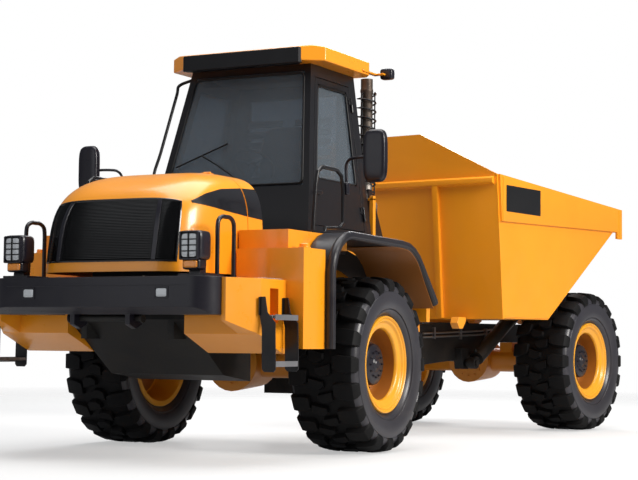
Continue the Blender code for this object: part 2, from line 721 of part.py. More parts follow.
def make_roof(parent):
    low = CAB_TOP + SEAT_GAP
    plan = mirrored([(0, ROOF_FRONT_Y), (0.54, ROOF_FRONT_Y), (ROOF_HALF, 0.0), (ROOF_HALF, 0.80),
                     (0.66, 0.88), (0, 0.88)])
    shape = prism(plan, "Z", low, ROOF_TOP)
    wide = ROOF_HALF + 0.1
    crown = mirrored([(0, low), (wide, low), (wide, 3.19), (0.50, 3.235), (0, ROOF_TOP)])
    shape = common(shape, prism(crown, "Y", -1, 1.2))
    fall = [(-0.5, low), (-0.5, 3.195), (ROOF_FRONT_Y, 3.205), (0.10, ROOF_TOP), (0.75, ROOF_TOP),
            (1.0, 3.19), (1.0, low)]
    shape = common(shape, prism(fall, "X", -1, 1))
    node("cab_roof", shape, "yellow_paint", parent)


def make_seat(parent):
    floor = CAB_LOW + CAB_WALL + SEAT_GAP
    shape = box((-0.17, 0.24, floor), (0.17, 0.56, floor + 0.26))
    shape = joined(shape, box((-0.25, 0.12, floor + 0.25), (0.25, 0.62, floor + 0.38)))
    back = [(0.54, floor + 0.36), (0.62, floor + 0.36), (0.73, floor + 0.98), (0.65, floor + 0.98)]
    shape = joined(shape, prism(back, "X", -0.23, 0.23))
    node("driver_seat", shape, "seat_cloth", parent)


def make_steering(parent):
    floor = CAB_LOW + CAB_WALL + SEAT_GAP
    console = [(-0.22, floor), (-0.08, floor), (-0.02, floor + 0.42), (-0.10, floor + 0.46),
               (-0.16, floor + 0.30)]
    shape = prism(console, "X", -0.32, 0.32)
    base = Vector((0, -0.06, floor + 0.38))
    hub = Vector((0, 0.12, floor + 0.58))
    shape = joined(shape, cylinder(base, hub, 0.03, 12))
    lean = (hub - base).normalized()
    shape = joined(shape, cylinder(hub - lean * 0.012, hub + lean * 0.012, 0.19, 28))
    node("steering_console", shape, "black_paint", parent)


def make_handrail(side, word, parent):
    x = side * 1.04
    foot = DECK_TOP + SEAT_GAP
    shape = box((x - 0.03, -0.83, foot), (x + 0.03, -0.56, foot + 0.02))
    rise = 2.12
    loop = [(x, -0.80, foot + 0.01), (x, -0.76, rise - 0.10), (x, -0.73, rise), (x, -0.66, rise + 0.04),
            (x, -0.42, rise + 0.04), (x, -0.34, rise), (x, -0.31, rise - 0.10), (x, -0.31, 1.76),
            (x, -0.36, 1.72), (x, -0.60, foot + 0.05), (x, -0.62, foot + 0.01)]
    shape = joined(shape, pipe(loop, 0.0155))
    node("handrail_" + word, shape, "black_paint", parent)


def make_mirror(side, word, parent):
    rail = side * 1.04
    clamp = box((rail - 0.025, -0.2942, 1.98), (rail + 0.025, -0.232, 2.08))
    bend = (side * 1.10, -0.29, 2.26)
    arm = pipe([(rail, -0.257, 2.03), (rail, -0.257, 2.20), bend, (side * 1.30, -0.325, 2.26)], 0.011)
    low, high = sorted((side * 1.225, side * 1.425))
    glass_case = box((low, -0.375, 2.06), (high, -0.305, 2.47))
    shape = joined(clamp, arm, glass_case)
    node("mirror_" + word, shape, "black_paint", parent)


def fender_line(grow):
    """The arch from its front foot over the wheel to its tail; grow moves it outwards."""
    front = TANK_REAR_Y + SEAT_GAP - grow
    points = [(front, 0.80), (front, 1.36)]
    points += arc((front + 0.34 + grow, 1.32), 0.34 + grow, 165, 95, 4)
    points += [(0.22, 1.645 + grow)]
    points += arc((0.25, 1.165), 0.48 + grow, 78, 40, 3)
    points += [(0.90 + grow * 0.7, 1.19 + grow * 0.7)]
    return points


def make_fender(side, word, parent):
    """A wide arch over the front wheel, cut away under the deck beside the cab."""
    outline = fender_line(0) + list(reversed(fender_line(-FENDER_THICKNESS)))
    inner, outer = sorted((side * FENDER_INNER_X, side * FENDER_OUTER_X))
    shape = prism(outline, "X", inner, outer)
    gap = SEAT_GAP
    inner, outer = sorted((side * 0.6, side * (DECK_HALF + gap)))
    deck_low = DECK_TOP - DECK_THICKNESS - gap
    shape = cut(shape, box((inner, TANK_REAR_Y - 0.1, deck_low), (outer, DECK_REAR_Y + gap, DECK_TOP + 0.1)))
    tab_low, tab_high = sorted((side * (ARCH_WALL_X + 0.06 + gap), side * (FENDER_INNER_X + 0.02)))
    shape = joined(shape, box((tab_low, -0.25, 1.55), (tab_high, 0.20, 1.62)))
    node("fender_" + word, shape, "black_paint", parent)


def make_rear_deck(parent):
    shape = box((-0.70, 0.86, 1.20), (0.70, 1.24, 1.70))
    shape = joined(shape, box((-0.38, 0.90, FRAME_TOP + SEAT_GAP), (0.38, 1.08, 1.22)))
    node("rear_deck", shape, "yellow_paint", parent)


def make_exhaust(parent):
    low = 1.70 + SEAT_GAP
    base = cylinder((0.56, 1.08, low), (0.56, 1.08, 2.05), 0.10, 20)
    stack = cylinder((0.56, 1.08, 2.04), (0.56, 1.08, 3.12), 0.055, 20)
    node("exhaust_stack", joined(base, stack), "exhaust_steel", parent)


# ---------------------------------------------------------------- rear frame and bed


def make_rear_frame(parent):
    low = AXLE_SADDLE_TOP + SEAT_GAP
    front = PIVOT_Y + 0.32 + RUN_GAP
    top = BED_LOW - PLATE - 0.012
    shape = box((-FRAME_HALF + 0.01, front, 0.56), (FRAME_HALF - 0.01, front + 0.22, 0.98))
    shape = cut(shape, cylinder((0, front - 0.1, ROLL_Z), (0, front + 0.4, ROLL_Z), 0.11 + PIN_GAP, 48))
    for side in (-1, 1):
        inner, outer = sorted((side * (FRAME_HALF - RAIL_THICKNESS), side * FRAME_HALF))
        rail = [(front + 0.05, 0.62), (3.60, 0.72), (3.95, low), (4.85, low), (4.85, top), (2.85, top),
                (front + 0.05, 0.99)]
        shape = joined(shape, prism(rail, "X", inner, outer))
    for y in (2.95, 3.70, 4.80):
        shape = joined(shape, box((-FRAME_HALF + 0.02, y - 0.03, 0.90), (FRAME_HALF - 0.02, y + 0.03, 1.02)))
    for side in (-1, 1):
        inner, outer = sorted((side * (FRAME_HALF - 0.01), side * (TIP_BASE[0] + 0.055)))
        y, z = TIP_BASE[1:]
        shape = joined(shape, cylinder((inner, y, z), (outer, y, z), 0.03, 16))
        gusset = [(y - 0.10, 0.80), (y - 0.05, 0.60), (y + 0.05, 0.60), (y + 0.10, 0.80)]
        inner, outer = sorted((side * (FRAME_HALF - 0.02), side * (TIP_BASE[0] - 0.075)))
        shape = joined(shape, prism(gusset, "X", inner, outer))
    reach = FRAME_HALF - 0.01
    pin = cylinder((-reach, TIP_AXIS_Y, TIP_AXIS_Z), (reach, TIP_AXIS_Y, TIP_AXIS_Z), 0.04, 20)
    shape = joined(shape, pin)
    for side in (-1, 1):
        inner, outer = sorted((side * 0.36, side * (FRAME_HALF - 0.005)))
        tip = TIP_AXIS_Z + 0.08
        ear = [(TIP_AXIS_Y - 0.13, top - 0.05), (TIP_AXIS_Y + 0.13, top - 0.05), (TIP_AXIS_Y + 0.05, tip),
               (TIP_AXIS_Y - 0.05, tip)]
        shape = joined(shape, prism(ear, "X", inner, outer))
    node("rear_frame", shape, "black_paint", parent)


def floor_line(y):
    """Underside of the bed at a place along the truck."""
    slope = (BED_TAIL_LOW - BED_LOW) / (BED_TAIL_Y - BED_KNEE_Y)
    return BED_LOW + max(0.0, y - BED_KNEE_Y) * slope


def wall_front_y(z):
    """Front face of the leaning front wall."""
    return BED_FRONT_Y + (BED_FRONT_TOP - z) * 0.09


def bed_plate(line):
    """A plate of the bed between its sides, above a line of (y, z) points, split at the knee."""
    half = BED_HALF - PLATE - SEAT_GAP
    upper = [(y, z + PLATE) for y, z in reversed(line)]
    return prism(line + upper, "X", -half, half)


def make_bed_floor(parent):
    """The level plate at the front, with the two pads that rest on the frame."""
    front = wall_front_y(BED_LOW) + PLATE + SEAT_GAP
    shape = bed_plate([(front, BED_LOW), (BED_KNEE_Y - SEAT_GAP, BED_LOW)])
    for side in (-1, 1):
        inner, outer = sorted((side * 0.20, side * 0.32))
        shape = joined(shape, box((inner, 2.75, BED_LOW - 0.03), (outer, 3.38, BED_LOW + 0.005)))
    node("bed_floor", shape, "yellow_paint", parent)


def ear_outline(y, front, rear, foot):
    """The outline of a lug that hangs from the ramp: its foot, then its rear and front roots."""
    roots = [(y + rear, floor_line(y + rear) + 0.01), (y + front, floor_line(y + front) + 0.01)]
    return foot + roots


def make_bed_ramp(parent):
    """The plate that rises to the tail, with the ears of the tip hinge and of the two cylinders."""
    line = [(BED_KNEE_Y, BED_LOW), (BED_TAIL_Y, BED_TAIL_LOW), (BED_END_Y, BED_TAIL_LOW + 0.06)]
    shape = bed_plate(line)
    for side in (-1, 1):
        inner, outer = sorted((side * 0.24, side * 0.34))
        y, z = TIP_AXIS_Y, TIP_AXIS_Z
        lug = ear_outline(y, -0.45, 0.09, [(y - 0.07, z - 0.05), (y, z - 0.08), (y + 0.07, z - 0.05)])
        bore = cylinder((inner - 0.05, y, z), (outer + 0.05, y, z), PIN_GAP + 0.04, 20)
        shape = joined(shape, cut(prism(lug, "X", inner, outer), bore))
        inner, outer = sorted((side * (TIP_EYE[0] - 0.085), side * (TIP_EYE[0] - 0.06)))
        y, z = TIP_EYE[1:]
        lug = ear_outline(y, -0.16, 0.10, [(y - 0.05, z - 0.05), (y + 0.06, z - 0.03)])
        shape = joined(shape, prism(lug, "X", inner, outer))
    node("bed_ramp", shape, "yellow_paint", parent)


def make_bed_front(parent):
    low = BED_LOW - 0.005
    outline = mirrored([(0, low), (BED_HALF, low), (BED_HALF, BED_FRONT_TOP), (BED_CREST_HALF, BED_CREST),
                        (0, BED_CREST)])
    shape = prism(outline, "Y", BED_FRONT_Y - 0.2, BED_FRONT_Y + 0.4)
    low = wall_front_y(BED_LOW - 0.1)
    high = wall_front_y(3.0)
    lean = [(low, BED_LOW - 0.1), (high, 3.0), (high + PLATE, 3.0), (low + PLATE, BED_LOW - 0.1)]
    shape = common(shape, prism(lean, "X", -2, 2))
    ribs = [(wall_front_y(2.30) - 0.04, 2.30), (wall_front_y(2.34) - 0.04, 2.34),
            (wall_front_y(2.36) + 0.005, 2.36), (wall_front_y(2.28) + 0.005, 2.28)]
    shape = joined(shape, prism(ribs, "X", -BED_HALF + 0.03, BED_HALF - 0.03))
    for side in (-1, 1):
        inner, outer = sorted((side * 0.58, side * 0.64))
        foot = wall_front_y(1.08)
        head = wall_front_y(2.31)
        post = [(foot - 0.05, 1.08), (head - 0.035, 2.31), (head + 0.005, 2.31), (foot + 0.005, 1.08)]
        shape = joined(shape, prism(post, "X", inner, outer))
    node("bed_front_wall", shape, "yellow_paint", parent)


def make_bed_side(side, word, parent):
    gap = PLATE + SEAT_GAP
    front_low = wall_front_y(BED_LOW) + gap
    front_top = wall_front_y(BED_FRONT_TOP) + gap
    outline = [(front_low, BED_LOW), (BED_KNEE_Y, BED_LOW), (BED_TAIL_Y, BED_TAIL_LOW),
               (BED_END_Y, BED_TAIL_LOW + 0.02), (BED_END_Y, BED_END_TOP), (front_top, BED_FRONT_TOP)]
    inner, outer = sorted((side * (BED_HALF - PLATE), side * BED_HALF))
    shape = prism(outline, "X", inner, outer)
    rail_low = wall_front_y(1.95) + gap
    rail = [(rail_low, 1.95), (4.93, 2.00), (4.93, 1.93), (BED_END_Y, 1.93), (BED_END_Y, BED_END_TOP),
            (front_top, BED_FRONT_TOP)]
    inner, outer = sorted((side * (BED_HALF - 0.004), side * (BED_HALF + 0.022)))
    shape = joined(shape, prism(rail, "X", inner, outer))
    node("bed_side_" + word, shape, "yellow_paint", parent)


# ---------------------------------------------------------------- hydraulic cylinders


EYES = {"Z": (0.027, 0.02, (0, 0, 1)), "X": (0.04, 0.03, (1, 0, 0))}


def along(base, eye, reach):
    base = Vector(base)
    return base + (Vector(eye) - base).normalized() * reach


def make_cylinder(name, base, eye, sizes, across, barrel_parent, rod_parent):
    """A barrel on its base pin and its rod. sizes: rod bore, barrel radius and reach, rod length."""
    bore, barrel_radius, reach, rod_length = sizes
    half_eye, pin, axis = EYES[across]
    ring = pin + 0.026
    axis = Vector(axis)
    base = Vector(base)
    eye = Vector(eye)
    barrel = cylinder(along(base, eye, 0.085), along(base, eye, reach), barrel_radius, 20)
    barrel = joined(barrel, cylinder(base, along(base, eye, 0.095), half_eye * 0.8, 16))
    barrel = joined(barrel, cylinder(base - axis * half_eye, base + axis * half_eye, ring, 20))
    barrel = cut(barrel, cylinder(base - axis * 0.2, base + axis * 0.2, pin + PIN_GAP, 16))
    barrel = cut(barrel, cylinder(along(base, eye, 0.10), along(base, eye, reach + 0.1), bore, 20))
    node(name + "_barrel", barrel, "black_paint", barrel_parent)
    length = (eye - base).length
    rod = cylinder(along(base, eye, length - rod_length), along(base, eye, length - 0.01), bore - PIN_GAP, 20)
    rod = joined(rod, cylinder(eye - axis * half_eye, eye + axis * half_eye, ring, 20))
    node(name + "_rod", rod, "bright_steel", rod_parent)


def make_cylinders(front, rear):
    for side, word in ((1, "left"), (-1, "right")):
        base = (side * TIP_BASE[0], TIP_BASE[1], TIP_BASE[2])
        eye = (side * TIP_EYE[0], TIP_EYE[1], TIP_EYE[2])
        hinge = joint_empty("tip_barrel_axis_" + word, base, rear)
        sizes = (TIP_BORE, TIP_BARREL_RADIUS, TIP_BARREL_REACH, TIP_ROD_LENGTH)
        make_cylinder("tip_cylinder_" + word, base, eye, sizes, "X", hinge, hinge)
        base = (side * STEER_BASE[0], STEER_BASE[1], STEER_BASE[2])
        straight_eye = Vector((side * STEER_EYE[0], STEER_EYE[1] - PIVOT_Y, 0))
        turned_eye = Matrix.Rotation(REST_STEER, 4, "Z") @ straight_eye
        eye = Vector((turned_eye.x, turned_eye.y + PIVOT_Y, STEER_EYE[2]))
        hinge = joint_empty("steer_barrel_axis_" + word, base, front)
        sizes = (STEER_BORE, STEER_BARREL_RADIUS, STEER_BARREL_REACH, STEER_ROD_LENGTH)
        make_cylinder("steer_cylinder_" + word, base, eye, sizes, "Z", hinge, hinge)


# ---------------------------------------------------------------- the whole truck


def make_tractor(front):
    make_front_frame(front)
    make_bumper(front)
    make_engine(front)
    make_axle("front_axle", front, 0)
    make_cowl(front)
    make_rear_deck(front)
    make_exhaust(front)
    for side, word in ((1, "left"), (-1, "right")):
        make_fairing(side, word, front)
        make_side_body(side, word, front)
        make_ladder(side, word, front)
        make_front_lamp(side, word, front)
        make_handrail(side, word, front)
        make_mirror(side, word, front)
        make_fender(side, word, front)
    hood = joint_empty("hood_axis", (0, HOOD_REAR_Y + RUN_GAP / 2, HOOD_TOP), front)
    make_hood(hood)
    door = joint_empty("door_axis", door_axis()[0], front)
    make_cab(front, door)
    make_roof(front)
    make_seat(front)
    make_steering(front)


def make_truck():
    origin = joint_empty("truck_origin", (CENTRE_X, CENTRE_Y, 0))
    origin.location = (0, 0, 0)
    front = joint_empty("front_origin", (0, 0, 0), origin)
    make_tractor(front)
    pin = joint_empty("hitch_pin", (0, PIVOT_Y, ROLL_Z), front, (0, 0, REST_STEER))
    make_hitch(pin)
    rear = joint_empty("roll_axis", (0, PIVOT_Y + 0.32, ROLL_Z), pin)
    make_rear_frame(rear)
    make_axle("rear_axle", rear, REAR_AXLE_Y)
    tip = joint_empty("tip_axis", (0, TIP_AXIS_Y, TIP_AXIS_Z), rear)
    make_bed_floor(tip)
    make_bed_ramp(tip)
    make_bed_front(tip)
    for side, word in ((1, "left"), (-1, "right")):
        make_bed_side(side, word, tip)
        for place, parent, axle_y in (("front", front, 0), ("rear", rear, REAR_AXLE_Y)):
            centre = (side * TRACK / 2, axle_y, TYRE_RADIUS)
            hub = joint_empty(f"{place}_{word}_hub", centre, parent)
            make_wheel(f"{place}_{word}", hub, side)
    make_cylinders(front, rear)


clear_scene()
PARTS = new_collection("articulated_dump_truck")
STRAIGHT = {}
make_truck()
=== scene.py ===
import json
import math

import bmesh
import bpy
from mathutils import Matrix, Vector


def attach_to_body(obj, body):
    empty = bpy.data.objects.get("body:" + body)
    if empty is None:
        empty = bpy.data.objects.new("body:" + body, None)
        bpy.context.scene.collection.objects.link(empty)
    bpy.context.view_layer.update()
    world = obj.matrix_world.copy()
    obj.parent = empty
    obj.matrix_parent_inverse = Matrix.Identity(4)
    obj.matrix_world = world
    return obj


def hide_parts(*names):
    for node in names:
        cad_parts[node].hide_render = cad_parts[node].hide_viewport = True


bl_info = {
    "name": "Articulated Dump Truck",
    "version": (1, 0, 0),
    "blender": (4, 5, 0),
    "location": "View3D > Sidebar > Dump Truck",
    "description": "Dresses the articulated dump truck with paint, tyres, lamps, cab fittings and a studio",
    "category": "Object",
}

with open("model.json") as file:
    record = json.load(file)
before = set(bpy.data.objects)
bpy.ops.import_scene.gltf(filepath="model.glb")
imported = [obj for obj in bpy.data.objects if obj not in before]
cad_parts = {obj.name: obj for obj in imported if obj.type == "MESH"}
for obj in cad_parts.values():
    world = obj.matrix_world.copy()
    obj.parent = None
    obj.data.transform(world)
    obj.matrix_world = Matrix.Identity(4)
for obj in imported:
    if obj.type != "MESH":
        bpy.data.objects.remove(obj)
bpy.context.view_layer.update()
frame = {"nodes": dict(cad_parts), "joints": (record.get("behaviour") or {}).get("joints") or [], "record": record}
JOINTS = {joint["name"]: joint for joint in frame["joints"]}
BODY_OF_NODE = {
    node: body for body, nodes in frame["record"]["behaviour"]["bodies"].items() for node in nodes
}
SLOT_OF_NODE = {part["node"]: part["material_slot"] for part in frame["record"]["subparts"]}
SIDES = ((1, "left"), (-1, "right"))

# ---------------------------------------------------------------- frames of the two halves


def joint_point(name):
    return Vector(JOINTS[name]["pos_m"])


def joint_axis(name):
    return Vector(JOINTS[name]["axis"]).normalized()


def tractor_place():
    """Local metres of the tractor: X to its left, Y to its rear from the front axle, Z up from the ground."""
    return Matrix.Translation((joint_point("steer").x, joint_point("front_left_roll").y, 0))


def trailer_place():
    """The same for the rear half, laid out straight and then turned to its parked angle about the hitch."""
    pin = joint_point("steer")
    reach = pin.y - joint_point("front_left_roll").y
    across = joint_axis("rear_left_roll")
    turn = Matrix.Rotation(math.atan2(across.y, across.x), 4, "Z")
    return Matrix.Translation((pin.x, pin.y, 0)) @ turn @ Matrix.Translation((0, -reach, 0))


TRACTOR = tractor_place()
TRAILER = trailer_place()

# ---------------------------------------------------------------- settings


class DumpTruckPaint(bpy.types.PropertyGroup):
    """Colours and wear of the truck's finishes"""

    body: bpy.props.FloatVectorProperty(
        name="Body paint", description="Yellow paint of the bodywork and the bed", subtype="COLOR", size=3,
        min=0, max=1, default=(0.92, 0.330, 0.010),
    )
    wheel: bpy.props.FloatVectorProperty(
        name="Wheel paint", description="Paint of the rims and axles", subtype="COLOR", size=3,
        min=0, max=1, default=(0.80, 0.285, 0.012),
    )
    trim: bpy.props.FloatVectorProperty(
        name="Dark paint", description="Dark paint of the cab, fenders and steps", subtype="COLOR", size=3,
        min=0, max=1, default=(0.008, 0.0078, 0.010),
    )
    dust: bpy.props.FloatProperty(
        name="Dust", description="How much dust lies on the lower parts", subtype="FACTOR",
        min=0, max=1, default=0.14,
    )


class DumpTruckWheels(bpy.types.PropertyGroup):
    """Sizes of the tyres' tread and the rims' nuts"""

    lugs: bpy.props.IntProperty(
        name="Lugs a side", description="Tread lugs on each shoulder of a tyre", min=8, max=40, default=20,
    )
    lug_depth: bpy.props.FloatProperty(
        name="Lug depth", description="Height of a lug above the tread base", unit="LENGTH",
        min=0.01, max=0.08, default=0.040,
    )
    nuts: bpy.props.IntProperty(
        name="Wheel nuts", description="Nuts in a rim's ring", min=6, max=30, default=16,
    )


class DumpTruckHood(bpy.types.PropertyGroup):
    """Form of the hood and its grille"""

    skin: bpy.props.FloatProperty(
        name="Skin", description="Thickness of the hood's shell", unit="LENGTH",
        min=0.004, max=0.03, default=0.012,
    )
    slats: bpy.props.IntProperty(
        name="Grille slats", description="Slats across the grille", min=6, max=60, default=40,
    )


class DumpTruckStage(bpy.types.PropertyGroup):
    """Camera and studio"""

    lens: bpy.props.FloatProperty(
        name="Lens", description="Focal length of the camera", unit="CAMERA", min=20, max=300, default=90.7,
    )
    key: bpy.props.FloatProperty(
        name="Key light", description="Power of the main light", unit="POWER", min=0, max=20000, default=2150,
    )
    floor: bpy.props.FloatVectorProperty(
        name="Floor", description="Colour of the studio's floor", subtype="COLOR", size=3,
        min=0, max=1, default=(0.86, 0.86, 0.86),
    )


# ---------------------------------------------------------------- mesh tools


def add_ring(form, points):
    return [form.verts.new(point) for point in points]


def bridge(form, lower, upper):
    """Joins two rings of equal length with faces."""
    count = len(lower)
    for index in range(count):
        after = (index + 1) % count
        form.faces.new((lower[index], lower[after], upper[after], upper[index]))


def close_ends(form, rings):
    """Caps the first and the last ring."""
    form.faces.new(list(reversed(rings[0])))
    form.faces.new(rings[-1])


def add_loft(form, sections):
    """Skins closed sections of equal length, and closes both ends."""
    rings = [add_ring(form, section) for section in sections]
    for lower, upper in zip(rings, rings[1:]):
        bridge(form, lower, upper)
    close_ends(form, rings)


def add_box(form, low, high):
    x0, y0, z0 = (min(a, b) for a, b in zip(low, high))
    x1, y1, z1 = (max(a, b) for a, b in zip(low, high))
    lower = [(x0, y0, z0), (x1, y0, z0), (x1, y1, z0), (x0, y1, z0)]
    add_loft(form, (lower, [(x, y, z1) for x, y, z in lower]))


def add_prism(form, outline, axis, low, high):
    """A flat outline, in (y, z), (x, z) or (x, y), pulled along the axis."""
    placed = {
        "X": lambda a, b, c: (c, a, b), "Y": lambda a, b, c: (a, c, b), "Z": lambda a, b, c: (a, b, c),
    }[axis]
    add_loft(form, [[placed(a, b, end) for a, b in outline] for end in sorted((low, high))])


def frame_along(direction):
    """Two unit vectors square to a direction, so that (side, up, direction) is right-handed."""
    direction = Vector(direction).normalized()
    start = Vector((0, 0, 1)) if abs(direction.z) < 0.9 else Vector((1, 0, 0))
    side = start.cross(direction).normalized()
    return side, direction.cross(side).normalized()


def circle(middle, side, up, radius, steps):
    """Points round a circle in the plane of two unit vectors."""
    angles = [2 * math.pi * index / steps for index in range(steps)]
    return [middle + (side * math.cos(a) + up * math.sin(a)) * radius for a in angles]


def add_lathe(form, profile, centre, direction, steps, closed=False):
    """Turns (radius, offset) points about an axis; a point on the axis becomes a pole."""
    centre = Vector(centre)
    direction = Vector(direction).normalized()
    side, up = frame_along(direction)
    rings = []
    for radius, offset in profile:
        middle = centre + direction * offset
        on_axis = radius < 1e-6
        rings.append(add_ring(form, [middle] if on_axis else circle(middle, side, up, radius, steps)))
    for lower, upper in list(zip(rings, rings[1:])) + ([(rings[-1], rings[0])] if closed else []):
        if len(lower) > 1 and len(upper) > 1:
            bridge(form, lower, upper)
            continue
        for index in range(steps):
            after = (index + 1) % steps
            if len(lower) == 1:
                form.faces.new((lower[0], upper[after], upper[index]))
            else:
                form.faces.new((lower[index], lower[after], upper[0]))


def add_rod(form, start, end, radius, steps=20):
    """A solid round rod between two points."""
    along = Vector(end) - Vector(start)
    reach = along.length
    add_lathe(form, [(0, 0), (radius, 0), (radius, reach), (0, reach)], start, along, steps)


def smooth_path(points, steps):
    """A Catmull-Rom curve through the points."""
    points = [Vector(point) for point in points]
    ends = [points[0] * 2 - points[1]] + points + [points[-1] * 2 - points[-2]]
    path = []
    for index in range(1, len(ends) - 2):
        before, start, stop, after = ends[index - 1:index + 3]
        for step in range(steps):
            t = step / steps
            path.append(
                0.5 * (start * 2 + (stop - before) * t + (before * 2 - start * 5 + stop * 4 - after) * t * t
                       + (start * 3 - before - stop * 3 + after) * t * t * t)
            )
    return path + [points[-1]]


def add_tube(form, path, radius, sides, loop=False):
    """A round tube along a path, closed at its ends or joined into a loop."""
    path = [Vector(point) for point in path]
    count = len(path)
    side = None
    rings = []
    for index, point in enumerate(path):
        ahead = path[(index + 1) % count] if loop or index < count - 1 else point
        behind = path[index - 1] if loop or index > 0 else point
        direction = (ahead - behind).normalized()
        if side is None:
            side = frame_along(direction)[0]
        side = (side - direction * side.dot(direction)).normalized()
        rings.append(add_ring(form, circle(point, side, direction.cross(side), radius, sides)))
    for lower, upper in zip(rings, rings[1:]):
        bridge(form, lower, upper)
    if loop:
        bridge(form, rings[-1], rings[0])
    else:
        close_ends(form, rings)


def rounded_box_form(size, roundness, cuts=8):
    """A closed box whose edges and corners are rounded off, centred on the origin."""
    form = bmesh.new()
    bmesh.ops.create_cube(form, size=2)
    bmesh.ops.subdivide_edges(form, edges=form.edges, cuts=cuts, use_grid_fill=True)
    for vert in form.verts:
        length = sum(abs(value) ** roundness for value in vert.co) ** (1 / roundness)
        vert.co = Vector(value / length * edge / 2 for value, edge in zip(vert.co, size))
    return form


def add_form(form, other, matrix):
    """Copies another form into this one at a place, and frees it."""
    other.transform(matrix)
    mesh = bpy.data.meshes.new("scratch")
    other.to_mesh(mesh)
    other.free()
    form.from_mesh(mesh)
    bpy.data.meshes.remove(mesh)


def add_pad(form, size, roundness, place):
    """Adds a rounded box with its middle at a place."""
    add_form(form, rounded_box_form(size, roundness), Matrix.Translation(place))


def arc(y, z, radius, start, stop, step):
    """Points in (y, z) round part of a circle, every few degrees."""
    angles = map(math.radians, range(start, stop, step))
    return [(y + radius * math.cos(a), z + radius * math.sin(a)) for a in angles]


def object_from(name, form, finish_name, smooth=35.0, outward=True):
    """A mesh object from a form, in a finish. Its place is in its mesh."""
    if outward:
        bmesh.ops.recalc_face_normals(form, faces=form.faces)
    for face in form.faces:
        face.material_index = 0
    mesh = bpy.data.meshes.new(name)
    form.to_mesh(mesh)
    form.free()
    obj = bpy.data.objects.new(name, mesh)
    bpy.context.scene.collection.objects.link(obj)
    mesh.materials.append(finish(finish_name))
    mesh.shade_smooth()
    mesh.set_sharp_from_angle(angle=math.radians(smooth))
    return obj


def soften(obj, width, segments=2, angle=30.0):
    """Rounds the sharp edges of a piece."""
    bevel = obj.modifiers.new("soft_edges", "BEVEL")
    bevel.width = width
    bevel.segments = segments
    bevel.limit_method = "ANGLE"
    bevel.angle_limit = math.radians(angle)
    bevel.harden_normals = True
    return obj


def attach(obj, body, slot, *nodes):
    """Hangs a finished piece on its body and hides the plain solids that it stands for. The slot is not used."""
    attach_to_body(obj, body)
    if nodes:
        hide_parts(*nodes)
    return obj


def piece(name, form, finish_name, body, slot, place=TRACTOR, width=0.0, smooth=35.0, nodes=()):
    """Turns a form laid out in a half's own frame into a finished piece."""
    form.transform(place)
    obj = object_from(name, form, finish_name, smooth)
    if width:
        soften(obj, width)
    return attach(obj, body, slot, *nodes)


def pad_piece(name, size, roundness, place, finish_name, slot):
    """A piece of the tractor that is one rounded box."""
    form = bmesh.new()
    add_pad(form, size, roundness, place)
    return piece(name, form, finish_name, "tractor", slot)


def dress(node, finish_name, width):
    """Stands a copy of a plain solid, with rounded edges and a finish, in the solid's place."""
    form = bmesh.new()
    form.from_mesh(frame["nodes"][node].data)
    bmesh.ops.remove_doubles(form, verts=form.verts, dist=2e-5)
    bmesh.ops.dissolve_limit(form, angle_limit=math.radians(0.4), verts=form.verts, edges=form.edges)
    obj = object_from(node + "_finished", form, finish_name, 30.0, outward=False)
    soften(obj, width)
    return attach(obj, BODY_OF_NODE[node], SLOT_OF_NODE[node], node)


def finish_solid(node, finish_name):
    """Keeps a plain solid as it is, with a finish of its own."""
    mesh = frame["nodes"][node].data
    mesh.materials.clear()
    mesh.materials.append(finish(finish_name))


# ---------------------------------------------------------------- node tools


def feed(tree, node, inputs):
    """Sets each named input of a node to a value, or links a socket to it."""
    for label, value in inputs.items():
        if isinstance(value, bpy.types.NodeSocket):
            tree.links.new(value, node.inputs[label])
        else:
            node.inputs[label].default_value = value


def add_node(tree, kind, inputs=None, **settings):
    node = tree.nodes.new(kind)
    for name, value in settings.items():
        setattr(node, name, value)
    feed(tree, node, inputs or {})
    return node


def math_node(tree, operation, *values):
    return add_node(tree, "ShaderNodeMath", dict(enumerate(values)), operation=operation).outputs[0]


def add_inputs(tree, values):
    """Gives a tree an input for each label, of its value's kind."""
    kinds = {int: "NodeSocketInt", float: "NodeSocketFloat", tuple: "NodeSocketColor"}
    for label, value in values.items():
        socket = tree.interface.new_socket(label, in_out="INPUT", socket_type=kinds[type(value)])
        socket.default_value = value


def new_tree(name, values):
    """A tree that takes a shape, some numbers and a material, and the sockets that give them inside it."""
    tree = bpy.data.node_groups.new(name, "GeometryNodeTree")
    tree.interface.new_socket("Geometry", in_out="INPUT", socket_type="NodeSocketGeometry")
    add_inputs(tree, values)
    tree.interface.new_socket("Material", in_out="INPUT", socket_type="NodeSocketMaterial")
    tree.interface.new_socket("Geometry", in_out="OUTPUT", socket_type="NodeSocketGeometry")
    return tree, tree.nodes.new("NodeGroupInput").outputs


def close_tree(tree, shape, material):
    """Ends a tree in Realize Instances and Set Material."""
    realize = add_node(tree, "GeometryNodeRealizeInstances", {"Geometry": shape})
    covered = add_node(
        tree, "GeometryNodeSetMaterial", {"Geometry": realize.outputs["Geometry"], "Material": material}
    )
    add_node(tree, "NodeGroupOutput", {"Geometry": covered.outputs["Geometry"]})
    return tree


